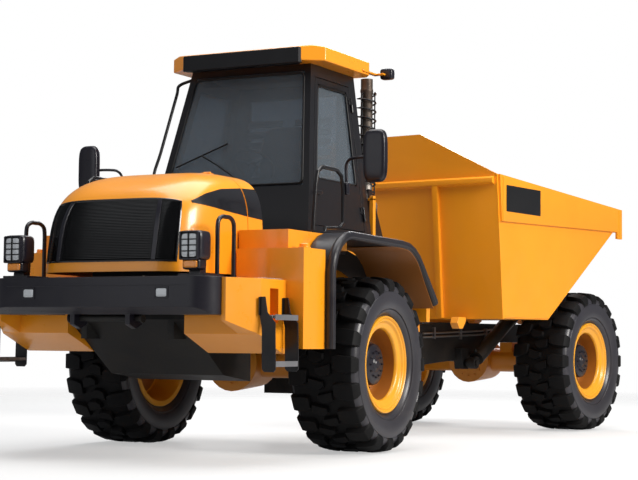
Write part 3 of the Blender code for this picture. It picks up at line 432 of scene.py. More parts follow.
def ring_tree():
    """Sets copies of the incoming shape round the X axis, each turned with its place."""
    name = "Repeat on ring"
    if name in bpy.data.node_groups:
        return bpy.data.node_groups[name]
    tree, given = new_tree(name, {"Count": 12, "Radius": 0.2, "Start": 0.0})
    line = add_node(tree, "GeometryNodeMeshLine", {"Offset": (0, 0, 0), "Count": given["Count"]})
    index = add_node(tree, "GeometryNodeInputIndex").outputs["Index"]
    step = math_node(tree, "DIVIDE", 2 * math.pi, given["Count"])
    angle = math_node(tree, "MULTIPLY_ADD", index, step, given["Start"])
    turn = add_node(tree, "ShaderNodeCombineXYZ", {"X": angle})
    arm = add_node(tree, "ShaderNodeCombineXYZ", {"Z": given["Radius"]})
    rotate = add_node(
        tree, "ShaderNodeVectorRotate", {"Vector": arm.outputs[0], "Angle": angle}, rotation_type="X_AXIS"
    )
    seat = add_node(
        tree, "GeometryNodeSetPosition",
        {"Geometry": line.outputs["Mesh"], "Position": rotate.outputs["Vector"]},
    )
    copies = add_node(
        tree, "GeometryNodeInstanceOnPoints",
        {"Points": seat.outputs["Geometry"], "Instance": given["Geometry"], "Rotation": turn.outputs[0]},
    )
    return close_tree(tree, copies.outputs["Instances"], given["Material"])


def grid_tree():
    """Sets copies of the incoming shape on a flat grid in X and Y, centred on the origin."""
    name = "Repeat on grid"
    if name in bpy.data.node_groups:
        return bpy.data.node_groups[name]
    tree, given = new_tree(name, {"Columns": 4, "Rows": 4, "Width": 0.2, "Depth": 0.2})
    grid = add_node(tree, "GeometryNodeMeshGrid", {
        "Vertices X": given["Columns"], "Vertices Y": given["Rows"], "Size X": given["Width"],
        "Size Y": given["Depth"],
    })
    points = add_node(tree, "GeometryNodeMeshToPoints", {"Mesh": grid.outputs["Mesh"]})
    copies = add_node(
        tree, "GeometryNodeInstanceOnPoints",
        {"Points": points.outputs["Points"], "Instance": given["Geometry"]},
    )
    return close_tree(tree, copies.outputs["Instances"], given["Material"])


def coil_tree():
    """Winds a round wire in a helix up the Z axis."""
    name = "Wire coil"
    if name in bpy.data.node_groups:
        return bpy.data.node_groups[name]
    tree, given = new_tree(name, {"Turns": 10.0, "Radius": 0.08, "Height": 1.0, "Wire": 0.004})
    helix = add_node(tree, "GeometryNodeCurveSpiral", {
        "Resolution": 16, "Rotations": given["Turns"], "Start Radius": given["Radius"],
        "End Radius": given["Radius"], "Height": given["Height"],
    })
    section = add_node(tree, "GeometryNodeCurvePrimitiveCircle", {"Resolution": 8, "Radius": given["Wire"]})
    wire = add_node(tree, "GeometryNodeCurveToMesh", {
        "Fill Caps": True, "Curve": helix.outputs["Curve"], "Profile Curve": section.outputs["Curve"],
    })
    return close_tree(tree, wire.outputs["Mesh"], given["Material"])


def run_tree(name, form, tree, values, finish_name):
    """Runs a node tree on a form and gives back the result as a form of its own."""
    obj = object_from(name, form, finish_name)
    change = obj.modifiers.new("repeat", "NODES")
    change.node_group = tree
    sockets = {item.name: item.identifier for item in tree.interface.items_tree if item.in_out == "INPUT"}
    for label, value in {**values, "Material": finish(finish_name)}.items():
        change[sockets[label]] = value
    obj.update_tag()
    graph = bpy.context.evaluated_depsgraph_get()
    graph.update()
    mesh = bpy.data.meshes.new_from_object(obj.evaluated_get(graph))
    obj.modifiers.clear()
    result = bmesh.new()
    result.from_mesh(mesh)
    bpy.data.objects.remove(obj, do_unlink=True)
    bpy.data.meshes.remove(mesh)
    return result


# ---------------------------------------------------------------- materials


# What each finish is made from: its colour (or the name of a colour in the settings), its gloss, dust of its
# own, its share of the dust in the settings, the height that dust reaches, grain, drift, relief, metal, coat
# and sheen.
FINISHES = {
    "body_yellow": ("body", 0.30, 0.0, 0.55, 1.3, 240.0, 0.08, 0.04, 0.0, 0.35, 0.5),
    "bed_yellow": ("body", 0.36, 0.0, 0.7, 2.2, 200.0, 0.10, 0.06, 0.0, 0.2, 0.5),
    "wheel_yellow": ("wheel", 0.38, 0.0, 1.0, 1.8, 180.0, 0.12, 0.06, 0.0, 0.1, 0.5),
    "rim_ring_yellow": ((0.86, 0.38, 0.014), 0.34, 0.03, 0.0, 1.8, 180.0, 0.10, 0.05, 0.0, 0.2, 0.5),
    # The rim's dish is a darker copy of the rim's yellow: painted shade in the deep dish.
    "rim_dish_yellow": ((0.40, 0.125, 0.010), 0.46, 0.05, 0.0, 1.8, 180.0, 0.15, 0.06, 0.0, 0.05, 0.5),
    # A dark copy of the yellow paint: painted shade under the fender.
    "lining_yellow": ((0.30, 0.10, 0.010), 0.5, 0.05, 0.0, 2.2, 200.0, 0.15, 0.06, 0.0, 0.0, 0.5),
    "dark_satin": ("trim", 0.34, 0.0, 0.4, 1.6, 220.0, 0.2, 0.05, 0.0, 0.15, 0.3),
    "frame_dark": ((0.005, 0.005, 0.006), 0.5, 0.0, 0.7, 2.0, 120.0, 0.25, 0.12, 0.0, 0.0, 0.3),
    "moulded_dark": ((0.0085, 0.0075, 0.014), 0.30, 0.0, 0.3, 1.6, 420.0, 0.15, 0.12, 0.0, 0.0, 0.45),
    "fender_plastic": ((0.011, 0.0102, 0.015), 0.34, 0.0, 0.6, 2.2, 380.0, 0.15, 0.14, 0.0, 0.0, 0.45),
    "grille_black": ((0.005, 0.005, 0.006), 0.18, 0.03, 0.0, 1.4, 500.0, 0.1, 0.04, 0.0, 0.3, 0.4),
    "vent_black": ((0.008, 0.008, 0.011), 0.22, 0.04, 0.0, 1.4, 400.0, 0.1, 0.05, 0.0, 0.4, 0.45),
    "visor_black": ((0.0035, 0.0034, 0.005), 0.42, 0.01, 0.0, 1.4, 300.0, 0.1, 0.04, 0.0, 0.0, 0.25),
    "plate_black": ((0.008, 0.008, 0.009), 0.35, 0.08, 0.0, 2.4, 300.0, 0.1, 0.05, 0.0, 0.0, 0.35),
    "blind_grey": ((0.16, 0.19, 0.20), 0.45, 0.05, 0.0, 1.4, 200.0, 0.1, 0.04, 0.0, 0.0, 0.5),
    "bare_steel": ((0.62, 0.62, 0.64), 0.28, 0.12, 0.0, 1.2, 300.0, 0.1, 0.05, 1.0, 0.0, 0.5),
    "tread_steel": ((0.40, 0.40, 0.42), 0.42, 0.12, 0.0, 1.2, 300.0, 0.1, 0.05, 1.0, 0.0, 0.5),
    "nut_steel": ((0.30, 0.27, 0.22), 0.45, 0.12, 0.0, 1.2, 300.0, 0.1, 0.05, 1.0, 0.0, 0.5),
    "pipe_steel": ((0.35, 0.35, 0.36), 0.4, 0.12, 0.0, 1.2, 300.0, 0.1, 0.05, 1.0, 0.0, 0.5),
    "tread_rubber": ((0.0040, 0.0041, 0.0050), 0.62, 0.02, 0.0, 2.4, 150.0, 0.2, 0.30, 0.0, 0.0, 0.15),
    # The sidewall rubber is a lighter copy of the tread rubber: painted light on the tyres' side walls.
    "sidewall_rubber": ((0.030, 0.029, 0.038), 0.34, 0.03, 0.0, 2.4, 90.0, 0.3, 0.10, 0.0, 0.0, 0.55),
    "soft_rubber": ((0.006, 0.006, 0.007), 0.45, 0.05, 0.0, 1.0, 260.0, 0.1, 0.08, 0.0, 0.0, 0.3),
}
# Each lens: its colour and the strength of its glow, a painted reflector shine.
LENSES = {"clear_lens": ((0.52, 0.54, 0.56), 0.12), "amber_lens": ((0.90, 0.30, 0.02), 0.05)}
GLASS_TINT = (0.34, 0.40, 0.46)
PAINT_RELIEF = 0.002


def shaded(colour, share=1.0):
    """A colour with alpha, dimmed to a share of its brightness."""
    return (*(value * share for value in colour), 1)


def object_place(tree):
    return tree.nodes.new("ShaderNodeTexCoord").outputs["Object"]


def upward(tree, vector):
    """The Z part of a vector."""
    return add_node(tree, "ShaderNodeSeparateXYZ", {0: vector}).outputs["Z"]


def noise_node(tree, place, scale, detail=4.0, roughness=0.55):
    return add_node(tree, "ShaderNodeTexNoise", {
        "Vector": place, "Scale": scale, "Detail": detail, "Roughness": roughness,
    }).outputs["Fac"]


def range_node(tree, value, low, high, out_low=0.0, out_high=1.0):
    return add_node(tree, "ShaderNodeMapRange", {
        "Value": value, "From Min": low, "From Max": high, "To Min": out_low, "To Max": out_high,
    }).outputs["Result"]


def mix_node(tree, factor, first, second, blend="MIX"):
    inputs = {0: factor, 6: first, 7: second}
    return add_node(tree, "ShaderNodeMix", inputs, data_type="RGBA", blend_type=blend).outputs[2]


def wear_group():
    """Colour drift, road dust that thins out upwards and fine grain, for any painted or moulded surface."""
    name = "Site wear"
    if name in bpy.data.node_groups:
        return bpy.data.node_groups[name]
    group = bpy.data.node_groups.new(name, "ShaderNodeTree")
    add_inputs(group, {
        "Paint": (0.8, 0.4, 0.02, 1), "Dust colour": (0.36, 0.30, 0.22, 1), "Dust": 0.3, "Dust top": 1.4,
        "Gloss": 0.3, "Grain": 160.0, "Drift": 0.12,
    })
    for label, kind in (("Colour", "Color"), ("Roughness", "Float"), ("Height", "Float")):
        group.interface.new_socket(label, in_out="OUTPUT", socket_type="NodeSocket" + kind)
    given = group.nodes.new("NodeGroupInput").outputs
    place = object_place(group)
    broad = noise_node(group, place, 1.1, 3.0)
    cloud = noise_node(group, place, 5.5, 8.0, 0.68)
    speck = noise_node(group, place, 42.0, 6.0, 0.7)
    grain = noise_node(group, place, given["Grain"], 2.0)
    shade = range_node(group, broad, 0.3, 0.7)
    darker = mix_node(group, 1.0, given["Paint"], (0.80, 0.76, 0.72, 1), "MULTIPLY")
    drift = math_node(group, "MULTIPLY", shade, given["Drift"])
    drift = math_node(group, "MULTIPLY", drift, 4.0)
    tint = mix_node(group, drift, given["Paint"], darker)
    low_down = range_node(group, upward(group, place), given["Dust top"], 0.25)
    facing_up = upward(group, group.nodes.new("ShaderNodeNewGeometry").outputs["Normal"])
    ledge = range_node(group, facing_up, 0.35, 1.0, 0.0, 0.30)
    patchy = range_node(group, cloud, 0.36, 0.70)
    fine = range_node(group, speck, 0.30, 0.72, 0.35, 1.0)
    cover = math_node(group, "MULTIPLY", patchy, fine)
    cover = math_node(group, "MULTIPLY", cover, math_node(group, "ADD", low_down, ledge))
    cover = math_node(group, "MULTIPLY", cover, given["Dust"])
    cover.node.use_clamp = True
    rough = math_node(group, "MULTIPLY_ADD", cover, 0.5, given["Gloss"])
    add_node(group, "NodeGroupOutput", {
        "Colour": mix_node(group, cover, tint, given["Dust colour"]),
        "Roughness": math_node(group, "ADD", rough, range_node(group, cloud, 0.3, 0.7, -0.04, 0.06)),
        "Height": math_node(group, "MULTIPLY_ADD", cover, 0.8, grain),
    })
    return group


def new_material(name):
    material = bpy.data.materials.new(name)
    material.use_nodes = True
    tree = material.node_tree
    return material, tree, tree.nodes["Principled BSDF"]


def relief_of(tree, height, strength, distance=PAINT_RELIEF):
    node = add_node(tree, "ShaderNodeBump", {"Strength": strength, "Distance": distance, "Height": height})
    return node.outputs["Normal"]


def worn_material(name):
    """A painted, moulded or metal surface with dust and wear, from the table of finishes."""
    colour, gloss, dust, share, top, grain, drift, relief, metal, coat, sheen = FINISHES[name]
    settings = bpy.context.scene.truck_paint
    if isinstance(colour, str):
        colour = getattr(settings, colour)
    material, tree, shader = new_material(name)
    wear = add_node(tree, "ShaderNodeGroup", {
        "Paint": shaded(colour), "Dust": dust + settings.dust * share, "Dust top": top, "Gloss": gloss,
        "Grain": grain, "Drift": drift,
    }, node_tree=wear_group()).outputs
    feed(tree, shader, {
        "Metallic": metal, "Specular IOR Level": sheen, "Coat Weight": coat, "Coat Roughness": 0.12,
        "Base Color": wear["Colour"], "Roughness": wear["Roughness"],
        "Normal": relief_of(tree, wear["Height"], relief),
    })
    return material


def clear_glass(name):
    """Tinted glass with faint smears."""
    material, tree, shader = new_material(name)
    smear = noise_node(tree, object_place(tree), 3.0, 5.0, 0.6)
    feed(tree, shader, {
        "Roughness": range_node(tree, smear, 0.35, 0.75, 0.02, 0.10),
        "Base Color": mix_node(tree, smear, shaded(GLASS_TINT), shaded(GLASS_TINT, 0.88)),
        "Transmission Weight": 0.80, "IOR": 1.45,
    })
    return material


def lamp_lens(name):
    """A ribbed lens that glows faintly, a painted shine of a reflector that is not built."""
    colour, painted_shine = LENSES[name]
    material, tree, shader = new_material(name)
    ribs = add_node(tree, "ShaderNodeTexWave", {
        "Scale": 40.0, "Distortion": 0.6, "Vector": object_place(tree),
    }).outputs["Fac"]
    shade = mix_node(tree, ribs, shaded(colour), shaded(colour, 0.7))
    # The lens's glow is a painted reflector shine, not a lit lamp.
    feed(tree, shader, {
        "Base Color": shade, "Roughness": range_node(tree, ribs, 0.0, 1.0, 0.06, 0.18), "Metallic": 0.25,
        "Coat Weight": 1.0, "Emission Strength": painted_shine, "Emission Color": shade,
        "Normal": relief_of(tree, ribs, 0.4),
    })
    return material


def mirror_glass(name):
    """Silvered glass with a faint haze."""
    material, tree, shader = new_material(name)
    haze = noise_node(tree, object_place(tree), 6.0, 4.0)
    feed(tree, shader, {
        "Roughness": range_node(tree, haze, 0.3, 0.8, 0.02, 0.09),
        "Base Color": mix_node(tree, haze, (0.82, 0.84, 0.86, 1), (0.75, 0.77, 0.80, 1)), "Metallic": 1.0,
    })
    return material


def exhaust_metal(name):
    """Heat-stained steel that darkens towards the tip."""
    material, tree, shader = new_material(name)
    place = object_place(tree)
    streak = noise_node(tree, place, 9.0, 6.0, 0.65)
    heat = range_node(tree, upward(tree, place), 2.0, 3.1)
    heat = math_node(tree, "ADD", heat, math_node(tree, "MULTIPLY", streak, 0.25))
    feed(tree, shader, {
        "Base Color": mix_node(tree, heat, (0.33, 0.30, 0.27, 1), (0.10, 0.075, 0.06, 1)),
        "Roughness": range_node(tree, streak, 0.3, 0.7, 0.35, 0.6), "Metallic": 0.8,
        "Normal": relief_of(tree, streak, 0.15),
    })
    return material


def seat_cloth(name):
    """Woven seat fabric."""
    material, tree, shader = new_material(name)
    place = object_place(tree)
    threads = []
    for direction in ("X", "Z"):
        wave = {"Scale": 180.0, "Vector": place}
        threads.append(add_node(tree, "ShaderNodeTexWave", wave, bands_direction=direction).outputs["Fac"])
    cloth = math_node(tree, "MULTIPLY", *threads)
    fuzz = noise_node(tree, place, 30.0, 4.0)
    tone = mix_node(tree, cloth, (0.030, 0.030, 0.036, 1), (0.085, 0.085, 0.095, 1))
    feed(tree, shader, {
        "Base Color": mix_node(tree, fuzz, tone, (0.02, 0.02, 0.024, 1)),
        "Roughness": range_node(tree, cloth, 0.0, 1.0, 0.95, 0.75), "Sheen Weight": 0.3,
        "Normal": relief_of(tree, cloth, 0.5, 0.001),
    })
    return material


def studio_floor(name):
    """A pale floor that fades out towards its rim."""
    material, tree, shader = new_material(name)
    place = object_place(tree)
    tone = noise_node(tree, place, 0.6, 2.0)
    colour = tuple(bpy.context.scene.truck_stage.floor)
    reach = add_node(tree, "ShaderNodeVectorMath", {0: place}, operation="LENGTH").outputs["Value"]
    feed(tree, shader, {
        "Base Color": mix_node(tree, tone, shaded(colour), shaded(colour, 0.985)), "Roughness": 0.55,
        "Alpha": range_node(tree, reach, 15.5, 6.0, 0.0, 0.55),
    })
    return material


SPECIAL_FINISHES = {
    "cab_glass": clear_glass, "clear_lens": lamp_lens, "amber_lens": lamp_lens, "mirror_glass": mirror_glass,
    "exhaust_metal": exhaust_metal, "seat_cloth": seat_cloth, "studio_floor": studio_floor,
}


def finish(name):
    """The material of a named finish, made when it is first asked for."""
    return bpy.data.materials.get(name) or SPECIAL_FINISHES.get(name, worn_material)(name)


# ---------------------------------------------------------------- wheels

WHEELS = {
    "front_left": (TRACTOR, 1), "front_right": (TRACTOR, -1), "rear_left": (TRAILER, 1),
    "rear_right": (TRAILER, -1),
}
TREAD_RADIUS = 0.68
AXLE_HEIGHT = 0.68
ORIGIN = (0, 0, 0)
X_AXIS = (1, 0, 0)
Z_AXIS = (0, 0, 1)


def wheel_place(name):
    """A wheel's own frame: X along its axle outwards, the origin at its middle."""
    place, side = WHEELS[name]
    out = Matrix.Rotation(0 if side > 0 else math.pi, 4, "Z")
    return Matrix.Translation(joint_point(name + "_roll")) @ place.to_3x3().to_4x4() @ out


def carcass_form(depth):
    """The tyre without its lugs: bead, sidewall with raised rings, shoulder and tread base."""
    base = TREAD_RADIUS - depth
    half = [
        (0.3455, 0.213), (0.366, 0.222), (0.384, 0.223), (0.392, 0.234), (0.404, 0.250), (0.418, 0.262),
        (0.424, 0.2635),
        (0.427, 0.2600), (0.431, 0.2600), (0.434, 0.2690), (0.446, 0.2745), (0.480, 0.2820), (0.515, 0.2850),
        (0.545, 0.2840), (0.562, 0.2815), (0.566, 0.2765), (0.571, 0.2765), (0.575, 0.2795), (0.592, 0.2760),
        (0.612, 0.264), (base - 0.014, 0.240), (base - 0.004, 0.215), (base - 0.002, 0.18),
        (base - 0.001, 0.0),
    ]
    profile = half + [(radius, -offset) for radius, offset in reversed(half[:-1])]
    form = bmesh.new()
    add_lathe(form, profile, ORIGIN, X_AXIS, 96, closed=True)
    return form


def block_sections(rows, base):
    """Cross sections of a tread block, each from (across, foot half, head half, top, shift)."""
    sections = []
    for across, foot, head, top, shift in rows:
        inside = min(across, 0.262)
        floor = base if across < 0.2 else base - (across - 0.2) * 1.05
        floor = min(floor, top - 0.012)
        ahead, behind = shift + head, shift - head
        sections.append((
            (inside, shift - foot, floor), (inside, shift + foot, floor),
            (across, ahead, math.sqrt(top * top - ahead * ahead)),
            (across, behind, math.sqrt(top * top - behind * behind)),
        ))
    return sections


def lug_form(depth):
    """One pitch of tread at the top of the tyre: a long shoulder block and a short block near the middle."""
    base = TREAD_RADIUS - depth - 0.004
    top = TREAD_RADIUS
    form = bmesh.new()
    add_loft(form, block_sections((
        (0.108, 0.050, 0.042, top, 0.018), (0.150, 0.064, 0.057, top, 0.012),
        (0.212, 0.067, 0.060, top - 0.006, 0.004),
        (0.262, 0.066, 0.058, top - 0.020, 0.002), (0.284, 0.062, 0.052, top - 0.052, 0.002),
        (0.2895, 0.052, 0.040, top - 0.098, 0.002),
    ), base))
    add_loft(form, block_sections((
        (-0.030, 0.026, 0.018, top, -0.040), (0.008, 0.040, 0.034, top, -0.048),
        (0.060, 0.046, 0.040, top, -0.040),
        (0.094, 0.040, 0.032, top, -0.026),
    ), base))
    bmesh.ops.recalc_face_normals(form, faces=form.faces)
    return form


def rim_form():
    """Outer part of the rim: flat ring, lock ring and both bead seats."""
    profile = [
        (0.274, 0.178), (0.279, 0.194), (0.287, 0.202), (0.296, 0.205), (0.318, 0.2105), (0.326, 0.2155),
        (0.332, 0.2260),
        (0.338, 0.2320), (0.346, 0.2340), (0.350, 0.2300), (0.354, 0.2300), (0.358, 0.2385), (0.366, 0.2440),
        (0.374, 0.2410), (0.377, 0.232), (0.377, 0.216), (0.345, 0.2152), (0.345, 0.10),
        (0.345, -0.10), (0.345, -0.2152), (0.377, -0.216), (0.377, -0.232), (0.366, -0.242), (0.335, -0.236),
        (0.318, -0.20), (0.300, -0.05), (0.290, -0.020), (0.274, -0.020),
    ]
    form = bmesh.new()
    add_lathe(form, profile, ORIGIN, X_AXIS, 72, closed=True)
    return form


def dish_form():
    """Deep dish of the rim, with its disc and the planetary hub."""
    profile = [
        (0.0, 0.143), (0.060, 0.143), (0.120, 0.139), (0.146, 0.120), (0.150, 0.112),
        (0.150, 0.030), (0.158, 0.022), (0.232, 0.020), (0.252, 0.026), (0.264, 0.044), (0.270, 0.075),
        (0.2735, 0.177),
        (0.2735, -0.020), (0.155, -0.020), (0.155, -0.060), (0.072, -0.060), (0.072, 0.015), (0.0, 0.015),
    ]
    form = bmesh.new()
    add_lathe(form, profile, ORIGIN, X_AXIS, 72)
    return form


def nut_form(radius, reach):
    """A six-sided nut on its washer, with a stud, pointing along X."""
    form = bmesh.new()
    washer = radius * 1.35
    stud = radius * 0.45
    tip = reach * 1.6
    add_lathe(form, [(0, -0.004), (washer, -0.004), (washer, 0.003), (0, 0.003)], ORIGIN, X_AXIS, 12)
    add_lathe(
        form, [(0, 0.0), (radius, 0.0), (radius, reach * 0.85), (radius * 0.8, reach), (0, reach)],
        ORIGIN, X_AXIS, 6,
    )
    add_lathe(form, [(0, 0.0), (stud, 0.0), (stud, tip), (0, tip)], ORIGIN, X_AXIS, 8)
    return form


def nut_ring(name, nut, count, radius, finish_name, start=0.0):
    """Nuts of one (radius, reach) set in a ring round the X axis."""
    values = {"Count": count, "Radius": radius, "Start": start}
    return run_tree(name, nut_form(*nut), ring_tree(), values, finish_name)


def tread_form(sizes):
    """A thin band of tread base with the lugs of both shoulders, half a pitch apart."""
    form = bmesh.new()
    base = TREAD_RADIUS - sizes.lug_depth
    band = [
        (base - 0.030, 0.2515), (base - 0.011, 0.2415), (base, 0.2160), (base + 0.0025, 0.18),
        (base + 0.003, 0.0),
    ]
    band += [(radius, -offset) for radius, offset in reversed(band[:-1])]
    inside = base - 0.033
    add_lathe(form, band + [(inside, -0.247), (inside, 0.247)], ORIGIN, X_AXIS, 72, closed=True)
    for side, start in ((1, 0.0), (-1, math.pi / sizes.lugs)):
        values = {"Count": sizes.lugs, "Radius": 0.0, "Start": start}
        lugs = run_tree("lugs", lug_form(sizes.lug_depth), ring_tree(), values, "tread_rubber")
        if side < 0:
            lugs.transform(Matrix.Scale(-1, 4, X_AXIS))
            bmesh.ops.reverse_faces(lugs, faces=lugs.faces)
        add_form(form, lugs, Matrix.Identity(4))
    return form


def hub_cap_form():
    """The planetary cover with its ring of small bolts."""
    form = bmesh.new()
    add_lathe(form, [
        (0, 0.168), (0.030, 0.168), (0.036, 0.162), (0.050, 0.158), (0.056, 0.152), (0.120, 0.150),
        (0.140, 0.147),
        (0.156, 0.138), (0.162, 0.124), (0.164, 0.050), (0.176, 0.044), (0.176, 0.030), (0.153, 0.030),
        (0.153, 0.128), (0, 0.128),
    ], ORIGIN, X_AXIS, 48)
    bolts = nut_ring("cap_bolts", (0.0075, 0.010), 12, 0.100, "frame_dark")
    add_form(form, bolts, Matrix.Translation((0.150, 0, 0)))
    return form


def build_wheel(name, sizes):
    place = wheel_place(name)
    body = name + "_wheel"
    walls = carcass_form(sizes.lug_depth)
    # The side walls get a lighter rubber than the tread: painted light on the walls.
    piece(name + "_tyre_walls", walls, "sidewall_rubber", body, "tyre_rubber", place, nodes=(name + "_tyre",))
    tread = tread_form(sizes)
    tread.transform(place)
    obj = object_from(name + "_tyre_tread", tread, "tread_rubber", 32.0)
    soften(obj, 0.004, 1, 38.0)
    attach(obj, body, "tyre_rubber")
    piece(name + "_rim_turned", rim_form(), "rim_ring_yellow", body, "yellow_paint", place,
          nodes=(name + "_rim",))
    # The dish is coloured darker than the ring: painted shade inside the rim's deep dish.
    piece(name + "_rim_dish", dish_form(), "rim_dish_yellow", body, "yellow_paint", place)
    nuts = nut_ring("nuts", (0.0125, 0.020), sizes.nuts, 0.208, "wheel_yellow", 0.1)
    nuts.transform(Matrix.Translation((0.022, 0, 0)))
    piece(name + "_nuts", nuts, "nut_steel", body, "bright_steel", place)
    piece(name + "_hub_cap", hub_cap_form(), "moulded_dark", body, "black_paint", place)


class DUMPTRUCK_OT_wheels(bpy.types.Operator):
    """Make the four tyres with their lugs, and the rims with their nuts and hub caps"""

    bl_idname = "dumptruck.wheels"
    bl_label = "Wheels"

    def execute(self, context):
        for name in WHEELS:
            build_wheel(name, context.scene.truck_wheels)
        return {"FINISHED"}


# ---------------------------------------------------------------- hood

HOOD = {
    "half": 0.66, "low": 1.33, "top": 2.095, "rear": -1.10, "nose": -2.0, "power": 5.0, "drop": 0.20,
    "lean": 0.14,
}
COWL_REAR = -0.88
HINGE_Y = -1.097
GRILLE_X = 0.93
GRILLE_Z = (0.125, 0.89)


def hood_point(px, py, pz, out=0.0):
    """A point of the hood's skin from a point on a box.

    Across it px runs from -1 to 1, along it py from -1 at the nose to 0, and up it pz from 0 to 1.
    """
    power = HOOD["power"]
    length = (abs(px) ** power + abs(py) ** power + abs(pz) ** power) ** (1 / power)
    px, py, pz = px / length, py / length, pz / length
    rise = pz * (1 - HOOD["drop"] * py * py)
    depth = (HOOD["rear"] - HOOD["nose"] + out) * (1 - HOOD["lean"] * rise)
    return Vector((
        (HOOD["half"] + out) * px, HOOD["rear"] + depth * py,
        HOOD["low"] + (HOOD["top"] - HOOD["low"] + out) * rise,
    ))


def spread(start, stop, count, *extra):
    """Evenly spaced numbers with some exact ones added in place of their nearest."""
    values = [start + (stop - start) * index / count for index in range(count + 1)]
    near = 0.3 * abs(stop - start) / count
    for number in extra:
        values = [value for value in values if abs(value - number) > near] + [number]
    return sorted(values)


def add_patch(form, columns, rows, point):
    """A grid of faces on the places that point gives, and a list of them as (column, row, face)."""
    grid = [[form.verts.new(point(a, b)) for b in rows] for a in columns]
    faces = []
    for i in range(len(columns) - 1):
        for j in range(len(rows) - 1):
            corners = (grid[i][j], grid[i + 1][j], grid[i + 1][j + 1], grid[i][j + 1])
            faces.append((i, j, form.faces.new(corners)))
    return faces


def hood_shell(form):
    """The hood's skin with the grille's opening left out of its front."""
    xs = spread(-1, 1, 30, -GRILLE_X, GRILLE_X)
    ys = spread(-1, 0, 16)
    zs = spread(0, 1, 16, *GRILLE_Z)
    add_patch(form, xs, ys, lambda a, b: hood_point(a, b, 1))
    for side in (-1, 1):
        add_patch(form, ys, zs, lambda a, b, s=side: hood_point(s, a, b))
    gone = []
    for i, j, face in add_patch(form, xs, zs, lambda a, b: hood_point(a, -1, b)):
        x = (xs[i] + xs[i + 1]) / 2
        z = (zs[j] + zs[j + 1]) / 2
        if abs(x) < GRILLE_X and GRILLE_Z[0] < z < GRILLE_Z[1]:
            gone.append(face)
    bmesh.ops.delete(form, geom=gone, context="FACES")
    bmesh.ops.remove_doubles(form, verts=form.verts, dist=1e-5)


def orient_from(form, middle):
    """Turns every face of an open skin away from a point."""
    wrong = [face for face in form.faces if face.normal.dot(face.calc_center_median() - Vector(middle)) < 0]
    bmesh.ops.reverse_faces(form, faces=wrong)


def skin_piece(name, form, thickness, finish_name, body, slot, nodes=(), middle=(0, -1.3, 1.6)):
    """Turns an open skin into a piece with a wall inwards, closed round its rim."""
    form.normal_update()
    orient_from(form, middle)
    form.normal_update()
    bmesh.ops.solidify(form, geom=form.faces[:] + form.edges[:] + form.verts[:], thickness=thickness)
    return piece(name, form, finish_name, body, slot, smooth=40.0, nodes=nodes)


def side_half(y, z, out=0.0):
    """Half width of the hood's skin at a height and a place along it."""
    rise = (z - HOOD["low"]) / (HOOD["top"] - HOOD["low"])
    depth = (HOOD["rear"] - HOOD["nose"]) * (1 - HOOD["lean"] * rise)
    py = min(0.0, (y - HOOD["rear"]) / depth)
    pz = rise / (1 - HOOD["drop"] * py * py)
    power = HOOD["power"]
    return HOOD["half"] * max(0.0, 1 - abs(py) ** power - abs(pz) ** power) ** (1 / power) + out


def fin_patch(form, side, start, stop, lower, upper, out):
    """A strip of side skin between two lines that each give a height along the hood."""
    def point(y, share):
        z = lower(y) + (upper(y) - lower(y)) * share
        return Vector((side * side_half(y, z, out), y, z))

    add_patch(form, spread(start, stop, 16), spread(0, 1, 5), point)


def ramp(points):
    """A line through (place, height) points."""
    def at(place):
        for (a, low), (b, high) in zip(points, points[1:]):
            if place <= b:
                share = max(0.0, (place - a) / (b - a))
                return low + (high - low) * share
        return points[-1][1]
    return at


VENT_UPPER = ramp(((-1.74, 1.835), (-1.60, 1.895), (-1.40, 1.945), (-1.10, 1.975), (-0.88, 1.985)))
VENT_LOWER = ramp(((-1.74, 1.820), (-1.60, 1.805), (-1.40, 1.785), (-1.10, 1.765), (-0.88, 1.755)))


